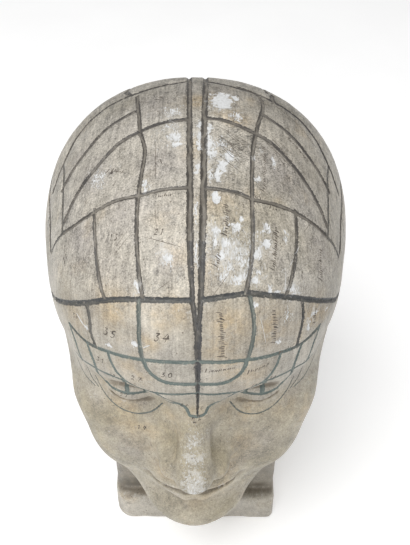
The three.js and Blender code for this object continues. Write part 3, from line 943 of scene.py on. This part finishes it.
def build_head():
    lines = LineMap()
    points, faces = mesh_of_head(lines)
    points, values = relief(points, lines)
    for name, spots in SPOTS.items():
        values[name] = soft_spots(points, spots)
    values["neck"], values["foot"] = block_shares(points)
    below_head = np.clip(values["neck"] + 4 * values["foot"], 0, 1)
    face = np.clip((FACE_TOP + EYE_LEVEL - points[:, 2]) / FACE_FADE, 0, 1)
    values["face"] = face * (1 - below_head)
    front = -points[:, 1] - HEAD_FORWARD - AXIS_FRONT
    up = points[:, 2] - EYE_LEVEL - AXIS_UP
    angle = np.degrees(np.arctan2(up, front))
    values["skull"] = np.clip((angle - SKULL_START) / SKULL_FADE, 0, 1)
    mesh = smooth_mesh("painted_head", points, faces.tolist(), values)
    mesh.validate()
    return add_object("painted_head", mesh)


# Ink: numbers and rows of strokes, as thin ribbons on the surface.
DIGITS = {
    "0": ((0.5, 1), (0.12, 0.75), (0.08, 0.35), (0.4, 0), (0.78, 0.3), (0.75, 0.8), (0.45, 1)),
    "1": ((0.25, 0.8), (0.5, 1), (0.42, 0)),
    "2": ((0.1, 0.75), (0.35, 1), (0.7, 0.8), (0.45, 0.4), (0.05, 0.05), (0.4, 0.1), (0.85, 0)),
    "3": ((0.1, 0.95), (0.7, 0.95), (0.35, 0.6), (0.75, 0.4), (0.5, 0), (0.05, 0.1)),
    "4": ((0.6, 1), (0.1, 0.48), (0.06, 0.38), (0.16, 0.36), (0.9, 0.42), (0.84, 0.52),
          (0.74, 0.8), (0.5, -0.1)),
    "5": ((0.85, 1), (0.3, 0.95), (0.2, 0.6), (0.65, 0.55), (0.7, 0.2), (0.35, 0), (0.05, 0.1)),
    "6": ((0.7, 1), (0.25, 0.65), (0.12, 0.25), (0.4, 0), (0.72, 0.25), (0.5, 0.5), (0.15, 0.3)),
    "7": ((0.05, 0.85), (0.3, 0.98), (0.8, 0.95), (0.45, 0.45), (0.35, 0)),
}

# Region numbers as (digits, side, angle, turn in degrees, height)
NUMBERS = (
    ("34", -15, 12.8, 0, 4.3), ("35", -39.5, 10.8, 0, 4.2), ("30", -13, 0, 0, 3.4),
    ("27", -28, -4.5, 0, 3.4), ("31", -45.5, -2.5, 0, 3.0), ("21", -16, 40, 8, 2.8),
    ("13", -37, 38.5, 30, 2.8), ("11", -62, 30, 80, 3.2), ("14", -41, 62, 20, 2.8),
    ("16", -19, 99, 85, 3.0), ("20", 2.8, -15.5, 0, 2), ("22", -5, -14.5, 0, 2.2),
    ("25", -36, -19.5, 5, 2.6), ("24", -40, -7.5, 8, 2.2), ("25", -30, -8, 0, 2.2),
    ("24", 38, -7.5, -6, 2.2), ("25", 29, -8, 0, 2.2), ("36", -57, 11, 20, 2.6), ("15", 29, 50, 70, 2.4),
    ("17", -17, 62, 80, 2.6), ("22", 1, -18.5, 25, 3.0), ("14", -28, -33, 5, 3.2),
)

# Rows of strokes in the place of writing: start and end as (side, angle), and height
STROKE_ROWS = (
    ((14, 6.6), (12.4, 20), 2.1), ((38, 8), (36.5, 19), 2.1), ((14.5, 39), (15, 48), 1.8),
    ((10.5, 31), (12, 34.5), 2.2), ((36, 29.5), (37.5, 42), 1.9), ((60, 23), (59.5, 35), 1.8),
    ((32, 53), (33.5, 72), 1.6), ((5, 1.6), (20, 2.2), 1.6), ((25, -1), (36, 0), 1.6),
    ((40, 2.6), (48, 4.2), 1.4), ((58, 8), (58, 15), 1.5), ((45, 83), (56, 74), 1.3),
    ((39, 106), (62, 91), 1.2), ((-40, 62), (-33, 60), 1.3), ((-18, 50), (-10, 50.5), 1.2),
    ((34, 47.5), (38, 47), 1.3),
)

# Scratches as start and end (side, angle), width and whether they are bare white, 1, or dark, 0
SCRATCHES = (
    ((-56, 12.5), (-50.5, 8), 0.9, 1), ((-37, 34), (-29, 41.5), 0.25, 0), ((-36, 33.5), (-28, 40), 0.2, 0),
    ((-25, 39), (-5, 36), 0.28, 0), ((-18, 48), (-17, 41), 0.22, 0), ((41, 23), (41.4, 30), 0.3, 1),
    ((39, 29), (41.4, 30), 0.25, 1), ((-19, 71), (-18, 56), 0.3, 0), ((-22, 66), (-14, 64), 0.2, 0),
    ((8, 24), (16, 30), 0.25, 0), ((45, 58), (52, 50), 0.25, 0), ((42, 57), (48, 48), 0.25, 0),
    ((-24, 8.5), (-20, 10), 0.5, 1), ((24, 60), (31, 54), 0.22, 0), ((-48, 66), (-52, 60), 0.22, 0),
    ((50, 40), (56, 46), 0.22, 0), ((-10, 28), (-18, 24.5), 0.22, 0), ((30, 17), (33, 9), 0.25, 1),
    ((28, 92), (38, 88), 0.2, 0), ((-30, 100), (-24, 97), 0.2, 0), ((43, 30), (48, 36), 0.3, 1),
) + tuple(
    # two patches of slanting scratches beside the crown
    ((9 + 3 * (i % 3), 80 - 1.5 * i), (25 - 4 * (i % 2), 72.5 - 1.5 * i), 0.36, 0) for i in range(10)
) + tuple(
    ((33 + 2 * (i % 3), 82 - 2 * i), (48 - 3 * (i % 2), 73 - 2 * i), 0.32, 0) for i in range(6)
)
INK_LIFT = 0.05

# Digits, as shares of their height, with the samples between two points of a digit
DIGIT_WIDTH = 0.62
DIGIT_SLANT = 0.22
DIGIT_LINE = 0.06
DIGIT_SWELL = 0.12
DIGIT_PITCH = 1.5  # in widths
DIGIT_STEPS = 5

# Rows of strokes: a tall first one, then heights, depths below the line, lean and bow as
# shares of the row's height, and widths in millimetres
ROW_STEP = 0.25  # between the samples of a row
STROKE_STEPS = 5
FIRST_HEIGHT = 1.7
NEXT_HEIGHTS = (0.6, 0.7, 0.75, 0.8, 1.3)
STROKE_DROPS = (0, 0, 0, 0.15, 0.5)
STROKE_LEAN = 0.35
STROKE_BOW = 0.08
STROKE_WIDTH = 0.32
STROKE_SWELL = 0.34


class InkPen:
    """Collects ribbons that follow the painted head's mesh."""

    def __init__(self, head, name):
        self.name = name
        self.tree = BVHTree.FromObject(head, bpy.context.evaluated_depsgraph_get())
        self.points = []
        self.faces = []
        self.values = []

    def sheet_at(self, side, angle, turn=0):
        """A flat drawing frame on the surface: its middle, right and up."""
        middle = over(side, angle)
        normal = unit(slope(middle[None])[1][0])
        lies_flat = abs(normal[2]) > 0.98
        right = np.array((1.0, 0, 0)) if lies_flat else unit(np.cross((0, 0, 1), normal))
        up = np.cross(normal, right)
        c, s = math.cos(math.radians(turn)), math.sin(math.radians(turn))
        return middle, right * c + up * s, up * c - right * s

    def stroke(self, path, widths, strength=1.0):
        """A ribbon along a path in millimetres, laid on the mesh."""
        found = [self.tree.find_nearest(Vector(p * MM)) for p in path]
        places = np.array([f[0] for f in found]) / MM
        normals = np.array([f[1] for f in found])
        across = np.cross(normals, np.gradient(places, axis=0))
        across /= np.linalg.norm(across, axis=1)[:, None] + 1e-9
        first = len(self.points)
        for at, side, normal in zip(places, across * np.reshape(widths, (-1, 1)), normals):
            for edge, lift in ((-0.5, 0.3), (0, 1), (0.5, 0.3)):
                self.points.append(at + side * edge + normal * INK_LIFT * lift)
                self.values.append(strength)
        for a in range(first, len(self.points) - 3):
            if (a - first) % 3 < 2:
                self.faces.append((a, a + 3, a + 4, a + 1))

    def finish(self):
        mesh = smooth_mesh(self.name, self.points, self.faces, {"strength": self.values})
        return add_object(self.name, mesh)


def draw_number(pen, digits, side, angle, turn, height, rng):
    middle, right, up = pen.sheet_at(side, angle, turn)
    width = DIGIT_WIDTH * height
    pitch = DIGIT_PITCH * width
    for i, digit in enumerate(digits):
        offset = (i - (len(digits) - 1) / 2) * pitch - width / 2
        outline = spline(DIGITS[digit], [DIGIT_STEPS] * (len(DIGITS[digit]) - 1))
        slant = DIGIT_SLANT + rng.uniform(-0.06, 0.06)
        x = offset + outline[:, 0] * width + slant * outline[:, 1] * height
        y = (outline[:, 1] - 0.5) * height + rng.uniform(-0.04, 0.04) * height
        path = middle + x[:, None] * right + y[:, None] * up
        share = np.linspace(0, 1, len(path))
        swell = 0.5 + 0.5 * np.sin(share * 7 + rng.uniform(0, 6))
        widths = DIGIT_LINE * height + DIGIT_SWELL * height * swell
        pen.stroke(path, widths, rng.uniform(0.75, 1.1))


def draw_row(pen, start, end, height, rng):
    """A row of slanting strokes along a line; they are ticks and no letters."""
    base = curve_through([over(*start), over(*end)], ROW_STEP)
    along = unit(np.gradient(base, axis=0))
    up = np.cross(unit(slope(base)[1]), along)
    length = ROW_STEP * len(base)
    at = 0.0
    first = True
    while at < length - 0.6:
        i = min(int(at / ROW_STEP), len(base) - 1)
        tall = height * (FIRST_HEIGHT if first else rng.choice(NEXT_HEIGHTS))
        drop = height * rng.choice(STROKE_DROPS)
        lean = STROKE_LEAN + rng.uniform(-0.08, 0.08)
        steps = np.linspace(0, 1, STROKE_STEPS)[:, None]
        rise = up[i] * (tall + drop) + along[i] * lean * (tall + drop)
        path = base[i] - up[i] * drop + rise * steps
        bow = STROKE_BOW * tall * np.sin(steps * math.pi)
        path = path + along[i] * bow
        widths = np.full(STROKE_STEPS, STROKE_WIDTH + STROKE_SWELL * rng.random())
        widths[-1] *= 0.4
        widths[0] *= 0.6
        pen.stroke(path, widths, rng.uniform(0.55, 1.0))
        at += rng.uniform(0.75, 1.25) * (1.6 if first else 1)
        first = False


def draw_scratch(pen, start, end, width, rng):
    """A nearly straight thin mark that fades out at both ends."""
    path = curve_through([over(*start), over(*end)], 1.0)
    share = np.linspace(0, 1, len(path))
    taper = np.sin(math.pi * np.clip(share, 0.04, 0.96)) ** 0.5
    widths = width * taper * [rng.uniform(0.6, 1.2) for _ in path]
    pen.stroke(path, widths, rng.uniform(0.55, 0.8))


def draw_scratches(pen, bare, rng):
    """The scratches that are bare, or else the dark ones."""
    for start, end, width, is_bare in SCRATCHES:
        if is_bare == bare:
            draw_scratch(pen, start, end, width, rng)


def build_scratches(head):
    pen = InkPen(head, "bare_scratches")
    draw_scratches(pen, 1, random.Random(11))
    return pen.finish()


def build_ink(head):
    rng = random.Random(7)
    pen = InkPen(head, "ink")
    draw_scratches(pen, 0, rng)
    for number in NUMBERS:
        draw_number(pen, *number, rng)
    for row in STROKE_ROWS:
        draw_row(pen, *row, rng)
    return pen.finish()


class Shades:
    """Small helper that adds nodes to a material and links what it is given."""

    def __init__(self, name):
        self.material = bpy.data.materials.new(name)
        self.material.use_nodes = True
        self.tree = self.material.node_tree
        self.tree.nodes.clear()
        output = self.tree.nodes.new("ShaderNodeOutputMaterial")
        self.shader = self.tree.nodes.new("ShaderNodeBsdfPrincipled")
        self.tree.links.new(self.shader.outputs["BSDF"], output.inputs["Surface"])
        self.place = self.add("ShaderNodeTexCoord").outputs["Object"]
        self.rounds = []

    def add(self, kind, inputs=None, **settings):
        made = self.tree.nodes.new(kind)
        for key, value in settings.items():
            setattr(made, key, value)
        for key, value in (inputs or {}).items():
            self.put(made.inputs[key], value)
        return made

    def put(self, socket, value):
        if isinstance(value, bpy.types.NodeSocket):
            self.tree.links.new(value, socket)
        else:
            socket.default_value = value

    def value_of(self, name):
        return self.add("ShaderNodeAttribute", attribute_name=name).outputs["Fac"]

    def noise(self, size, detail=3, rough=0.5, warp=0.0):
        """Noise with features of a size in millimetres."""
        made = self.add("ShaderNodeTexNoise", {
            "Vector": self.place, "Scale": 1 / (size * MM), "Detail": detail,
            "Roughness": rough, "Distortion": warp,
        })
        return made.outputs["Fac"]

    def streaks(self, width, length, detail=4, rough=0.6, turn=0.0):
        """Noise drawn out over the skull from front to back, and down the face and block."""
        if not self.rounds:
            self.rounds.append(self.around())
        place = self.add("ShaderNodeMapping", {
            "Vector": self.rounds[0], "Rotation": (0, 0, math.radians(turn)),
            "Scale": (width, length, width),
        }, vector_type="TEXTURE")
        made = self.add("ShaderNodeTexNoise", {
            "Vector": place.outputs[0], "Scale": 1.0, "Detail": detail, "Roughness": rough,
        })
        return made.outputs["Fac"]

    def swing(self, noise, share):
        """Noise as a change round zero: about a fifth of the share either way."""
        return self.math("MULTIPLY_ADD", noise, share, -share / 2)

    def scaled(self, colour, factor):
        made = self.add("ShaderNodeVectorMath", {0: colour, "Scale": factor}, operation="SCALE")
        return made.outputs[0]

    def around(self):
        """Side, length round the skull's cross axis and distance from it, in millimetres."""
        parts = self.add("ShaderNodeSeparateXYZ", {0: self.place})
        side = self.times(parts.outputs[0], 1 / MM)
        front = self.math("MULTIPLY_ADD", parts.outputs[1], -1 / MM, -HEAD_FORWARD - AXIS_FRONT)
        up = self.math("MULTIPLY_ADD", parts.outputs[2], 1 / MM, -EYE_LEVEL - AXIS_UP)
        turn = self.math("ARCTAN2", front, up)
        reach = self.math("SQRT", self.plus(self.times(front, front), self.times(up, up)))
        made = self.add("ShaderNodeCombineXYZ", {
            0: side, 1: self.times(turn, SKULL_RADIUS), 2: reach,
        })
        return made.outputs[0]

    def cells(self, size):
        """Distance from the middles of scattered cells of a size in millimetres."""
        made = self.add("ShaderNodeTexVoronoi", {"Vector": self.place, "Scale": 1 / (size * MM)})
        return made.outputs["Distance"]

    def math(self, operation, *values):
        return self.add("ShaderNodeMath", dict(enumerate(values)), operation=operation).outputs[0]

    def times(self, first, *others):
        for other in others:
            first = self.math("MULTIPLY", first, other)
        return first

    def plus(self, first, *others):
        for other in others:
            first = self.math("ADD", first, other)
        return first

    def highest(self, a, b):
        return self.math("MAXIMUM", a, b)

    def ease(self, value, low, high, to_low=0.0, to_high=1.0):
        """Maps low..high to to_low..to_high with a soft start and end."""
        made = self.add("ShaderNodeMapRange", {
            "Value": value, "From Min": low, "From Max": high,
            "To Min": to_low, "To Max": to_high,
        }, interpolation_type="SMOOTHSTEP")
        return made.outputs["Result"]

    def mix(self, share, a, b):
        def colour(c):
            return (*c, 1) if isinstance(c, tuple) and len(c) == 3 else c
        made = self.add("ShaderNodeMix", {0: share, 6: colour(a), 7: colour(b)}, data_type="RGBA")
        return made.outputs[2]


# Colours, linear
STONE = (0.39, 0.356, 0.298)
STONE_LIGHT = (0.475, 0.445, 0.388)
STONE_DARK = (0.25, 0.223, 0.178)
OLIVE = (0.318, 0.278, 0.193)
LILAC = (0.335, 0.308, 0.282)
SMUDGE = (0.19, 0.175, 0.158)
OCHRE = (0.43, 0.33, 0.20)
# colour of the painted shade and dirt in hollows
SILT_AND_SHADE = (0.16, 0.132, 0.095)
BROWN = (0.10, 0.078, 0.058)
CHALK = (0.66, 0.668, 0.668)
CHALK_DULL = (0.53, 0.53, 0.52)
# colour of the painted shade and grime on the neck
GRIME_AND_SHADE = (0.165, 0.15, 0.125)
ABRADED = (0.56, 0.545, 0.51)
LINE_GREY = (0.145, 0.129, 0.107)
LINE_PALE = (0.225, 0.204, 0.17)
LINE_EDGE = (0.036, 0.032, 0.028)
LINE_DARK = (0.026, 0.026, 0.032)
LINE_TEAL = (0.12, 0.16, 0.148)
LINE_TEAL_EDGE = (0.06, 0.085, 0.08)
INK_BROWN = (0.045, 0.035, 0.03)
INK_WORN = (0.26, 0.22, 0.17)


def stone_tone(s, fine):
    """Plain plaster with its olive, grey, ochre and smudged areas."""
    tone = s.mix(s.ease(s.noise(15, 5, 0.62), 0.34, 0.62), STONE_DARK, STONE)
    tone = s.mix(s.ease(s.noise(60, 2), 0.35, 0.65, 0.3, 0.85), tone, STONE_LIGHT)
    olive = s.plus(s.times(s.value_of("face"), 0.65), s.ease(s.noise(38, 3), 0.5, 0.7, 0, 0.4))
    cool = s.plus(s.times(s.value_of("cool"), s.ease(fine, 0.3, 0.7, 0.6, 1.2)),
                  s.ease(s.noise(24, 3, 0.6), 0.52, 0.72, 0, 0.3))
    warm = s.plus(s.times(s.value_of("warm"), s.ease(s.noise(7, 4, 0.7), 0.3, 0.62, 0.15, 1.0)),
                  s.ease(s.noise(31, 4, 0.6), 0.53, 0.72, 0, 0.45))
    smudge = s.plus(s.streaks(3.4, 9, 6, 0.75), s.times(s.value_of("dusky"), 0.12))
    smudge = s.times(s.ease(smudge, 0.55, 0.70), s.ease(s.value_of("skull"), 0, 1, 0.35, 0.52))
    for share, colour in ((olive, OLIVE), (cool, LILAC), (warm, OCHRE), (smudge, SMUDGE)):
        tone = s.mix(share, tone, colour)
    return tone


def mottling(s, streak):
    """Lighter and darker areas from half a millimetre to some centimetres, as a factor."""
    change = s.plus(
        s.swing(s.noise(1.0, 3, 0.65), 1.4), s.swing(s.noise(3.4, 4, 0.7), 1.0),
        s.swing(s.noise(0.55, 2, 0.5), 1.5), s.swing(streak, 1.3),
        s.swing(s.streaks(3.2, 60, 4, 0.6), 0.9),
    )
    change = s.times(change, s.ease(s.value_of("skull"), 0, 1, 0.6, 1.0))
    patches = s.plus(s.swing(s.noise(27, 2, 0.5), 1.1), s.swing(s.noise(9, 3, 0.5), 0.55), -0.06)
    hatch = s.ease(s.streaks(0.7, 12, 2, 0.6, turn=50), 0.48, 0.6, 0.1, -0.42)
    change = s.plus(change, s.times(patches, s.value_of("face")),
                    s.times(hatch, s.value_of("hatched")))
    # darker foot; darker neck, from painted shade and grime; darker shaded spots; lighter pale spots,
    # partly painted sheen
    for name, share in (("foot", -0.09), ("neck", -0.05), ("shaded", -0.26), ("pale", 0.2)):
        change = s.plus(change, s.ease(s.value_of(name), 0, 1, 0, share))
    return s.highest(s.plus(change, 1.0), 0.25)


def aged_tone(s, fine, streak):
    """The aged plaster's own colour, without lines or chips."""
    tone = s.scaled(stone_tone(s, fine), mottling(s, streak))
    hairs = s.math("ABSOLUTE", s.plus(s.noise(9, 4, 0.55, warp=0.6), -0.5))
    hairs = s.times(s.ease(hairs, 0.0, 0.008, 1, 0), s.ease(s.noise(13, 3, 0.6), 0.48, 0.6),
                    s.ease(s.value_of("skull"), 0, 1, 0.25, 0.55))
    tone = s.mix(hairs, tone, BROWN)
    # hollows darkened with painted shade and dirt
    hollow_shade_and_dirt = s.times(s.value_of("hollow"), s.ease(s.noise(5, 4, 0.65), 0.3, 0.62, 0.35, 0.8))
    tone = s.mix(hollow_shade_and_dirt, tone, SILT_AND_SHADE)
    # the neck under the head darkened with painted shade and grime
    neck_shade_and_grime = s.times(s.value_of("neck"), s.ease(s.noise(14, 5, 0.68), 0.34, 0.6, 0.5, 1.0), 0.95)
    tone = s.mix(neck_shade_and_grime, tone, GRIME_AND_SHADE)
    # the foot lightened in streaks as wear, and towards the right as painted light where the head shades
    # it
    foot_wear_and_light = s.times(s.value_of("foot"), s.ease(s.streaks(5, 11, 5, 0.7), 0.38, 0.68, 0.0, 0.42))
    tone = s.mix(foot_wear_and_light, tone, STONE_LIGHT)
    abraded = s.highest(s.value_of("worn"), s.times(s.value_of("ridge"), 0.6))
    abraded = s.ease(s.plus(s.noise(5.5, 6, 0.78), s.times(abraded, 0.2)), 0.62, 0.70)
    tone = s.mix(s.times(abraded, 0.6), tone, ABRADED)
    specks = s.highest(speck_share(s, 2.6, 0.53), speck_share(s, 1.3, 0.56))
    return s.mix(s.times(specks, 0.75), tone, BROWN)


def speck_share(s, size, share):
    """Small dark dots in some of the cells."""
    dots = s.ease(s.cells(size), 0.1, 0.22, 1, 0)
    return s.times(dots, s.ease(s.noise(size * 4, 3, 0.7), share, share + 0.06))


def line_tone(s):
    """A grey or blue-green body with darker edges and, in the dark lines, a dark core of paint
    that leans to one side as painted shade on the groove's flank.
    """
    across = s.plus(s.value_of("across"), s.ease(s.noise(14, 3), 0.3, 0.7, -0.5, 0.5))
    rim = s.highest(s.ease(across, 0.2, 0.55), s.ease(across, -0.3, -0.65))
    # the dark core fades on the negative side of across: painted shade on one flank
    dark = s.times(s.value_of("dark"), s.ease(s.noise(6, 4, 0.65), 0.34, 0.58, 0.55, 1.0),
                   s.ease(across, -0.75, -0.05, 0.4, 1.0))
    body = s.mix(s.ease(s.noise(5, 4, 0.7), 0.35, 0.65), LINE_GREY, LINE_PALE)
    grey = s.mix(dark, s.mix(s.times(rim, 0.85), body, LINE_EDGE), LINE_DARK)
    green = s.mix(s.plus(s.times(rim, 0.5), s.times(dark, 0.5)), LINE_TEAL, LINE_TEAL_EDGE)
    return s.mix(s.value_of("tint"), grey, green)


def with_lines(s, tone):
    """Adds the lines, broken where their paint has rubbed off; also returns their share."""
    edge = s.plus(s.value_of("line"), s.ease(s.noise(1.3, 4, 0.7), 0.2, 0.8, -0.25, 0.25))
    paint = s.ease(edge, -0.02, 0.14)
    kept = s.math("SUBTRACT", 0.95, s.ease(s.noise(1.8, 5, 0.75), 0.59, 0.67, 0, 0.6))
    return s.mix(s.times(paint, kept), tone, line_tone(s)), paint


def bare_share(s, paint):
    """Chips to the white plaster, ragged and drawn out from front to back, and flecks."""
    worn = s.value_of("worn")
    bitten = s.plus(s.value_of("chip"), s.ease(s.streaks(2.4, 4.6, 6, 0.75), 0.3, 0.7, -0.34, 0.34),
                    s.ease(s.streaks(0.6, 1.6, 3, 0.6), 0.3, 0.7, -0.4, 0.4))
    flecks = s.plus(s.streaks(0.8, 4.2, 5, 0.72), s.times(worn, 0.15))
    flecks = s.times(s.ease(flecks, 0.64, 0.71, 0, 0.8), s.ease(worn, 0.1, 0.4))
    # the lines were painted over most of the chips
    return s.times(s.highest(s.ease(bitten, 0.14, 0.34), flecks), s.ease(paint, 0.1, 0.7, 1.0, 0.3))


def plaster_material():
    s = Shades("aged_plaster")
    fine = s.noise(2.4, 5, 0.7)
    streak = s.streaks(1.2, 26, 5, 0.65)
    tone, paint = with_lines(s, aged_tone(s, fine, streak))
    bare = bare_share(s, paint)
    chalk = s.mix(s.ease(s.noise(1.6, 5, 0.75), 0.42, 0.66), CHALK, CHALK_DULL)
    s.put(s.shader.inputs["Base Color"], s.mix(bare, tone, chalk))
    s.put(s.shader.inputs["Roughness"], s.plus(s.ease(fine, 0.3, 0.7, 0.36, 0.6), s.times(bare, 0.3)))
    s.shader.inputs["Specular IOR Level"].default_value = 0.45
    # brush streaks, fine grain, small pits and the chips' depth
    height = s.plus(s.times(streak, 0.5), s.times(s.noise(0.9, 4, 0.7), 0.45),
                    s.times(s.noise(6, 5, 0.6), 0.9), s.ease(s.cells(4.4), 0.06, 0.2, -0.5, 0),
                    s.times(bare, -0.5))
    bump = s.add("ShaderNodeBump", {"Height": height, "Strength": 0.45, "Distance": 0.6 * MM})
    s.put(s.shader.inputs["Normal"], bump.outputs["Normal"])
    return s.material


def plain_material(name, tone_of, roughness):
    s = Shades(name)
    s.put(s.shader.inputs["Base Color"], tone_of(s))
    s.shader.inputs["Roughness"].default_value = roughness
    return s


def ink_tone(s):
    wear = s.times(s.ease(s.noise(0.8, 4, 0.7), 0.42, 0.72), 0.4)
    fade = s.highest(s.math("SUBTRACT", 1.05, s.value_of("strength")), 0)
    return s.mix(s.highest(wear, fade), INK_BROWN, INK_WORN)


def scratch_tone(s):
    return s.mix(s.ease(s.noise(1.2, 4, 0.7), 0.40, 0.62), CHALK, CHALK_DULL)


def floor_tone(s):
    return s.mix(s.ease(s.noise(90, 2), 0.3, 0.7), (0.93, 0.93, 0.93), (0.95, 0.95, 0.95))


FLOOR_HALF = 3.0
FLOOR_DROP = 0.0002


def build_floor():
    mesh = bpy.data.meshes.new("floor")
    corners = [(x * FLOOR_HALF, y * FLOOR_HALF, 0) for x, y in ((-1, -1), (1, -1), (1, 1), (-1, 1))]
    mesh.from_pydata(corners, [], [(0, 1, 2, 3)])
    shades = plain_material("pale_floor", floor_tone, 0.9)
    shades.shader.inputs["Emission Color"].default_value = (1, 1, 1, 1)
    shades.shader.inputs["Emission Strength"].default_value = 0.28
    mesh.materials.append(shades.material)
    floor = add_object("floor", mesh)
    floor.location.z = cad_low.z - FLOOR_DROP
    return floor


# Lights as name, place in metres, size and power; all aim at the middle of the head
LIGHTS = (
    ("key", (-0.36, -0.6, 1.4), 1.0, 17.6),
    ("fill", (1.2, -0.9, 0.9), 1.2, 2),
    ("front", (-0.6, -1.5, 0.35), 0.8, 2.2),
)
LIGHT_AIM = (0, 0, 0.15)
SKY_STRENGTH = 0.42


def light_studio():
    bpy.context.scene.view_settings.view_transform = "Standard"
    world = bpy.data.worlds.new("studio")
    world.use_nodes = True
    world.node_tree.nodes["Background"].inputs["Color"].default_value = (1, 1, 1, 1)
    world.node_tree.nodes["Background"].inputs["Strength"].default_value = SKY_STRENGTH
    bpy.context.scene.world = world
    for name, place, size, power in LIGHTS:
        light = bpy.data.lights.new(name, "AREA")
        light.size = size
        light.energy = power
        lamp = add_object(name, light)
        lamp.location = place
        lamp.rotation_euler = (Vector(LIGHT_AIM) - Vector(place)).to_track_quat("-Z", "Y").to_euler()


# The camera stands in front of the head and above it, looking down on the forehead.
CAMERA_AT = (2.9, -355.6, 478.7)
CAMERA_PITCH = 40.97
CAMERA_YAW = -0.38
CAMERA_ROLL = -0.63
FRAME_HEIGHT_PIXELS = 545
FOCAL_PIXELS = 812
SENSOR = 36


def build_camera():
    data = bpy.data.cameras.new("camera")
    data.sensor_fit = "VERTICAL"
    data.sensor_height = SENSOR
    data.lens = SENSOR * FOCAL_PIXELS / FRAME_HEIGHT_PIXELS
    camera = add_object("camera", data)
    pitch, yaw, roll = (math.radians(a) for a in (CAMERA_PITCH, CAMERA_YAW, CAMERA_ROLL))
    camera.matrix_world = (
        Matrix.Translation(Vector(CAMERA_AT) * MM)
        @ Matrix.Rotation(yaw, 4, "Z")
        @ Matrix.Rotation(math.pi / 2 - pitch, 4, "X")
        @ Matrix.Rotation(-roll, 4, "Z")
    )
    bpy.context.scene.camera = camera


head = build_head()
head.data.materials.append(plaster_material())
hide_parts("plaster_head")
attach(head, "root")
ink = build_ink(head)
ink.data.materials.append(plain_material("brown_ink", ink_tone, 0.7).material)
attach(ink, "root")
scratches = build_scratches(head)
scratches.data.materials.append(plain_material("scratched_plaster", scratch_tone, 0.9).material)
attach(scratches, "root")
build_floor()
light_studio()
build_camera()
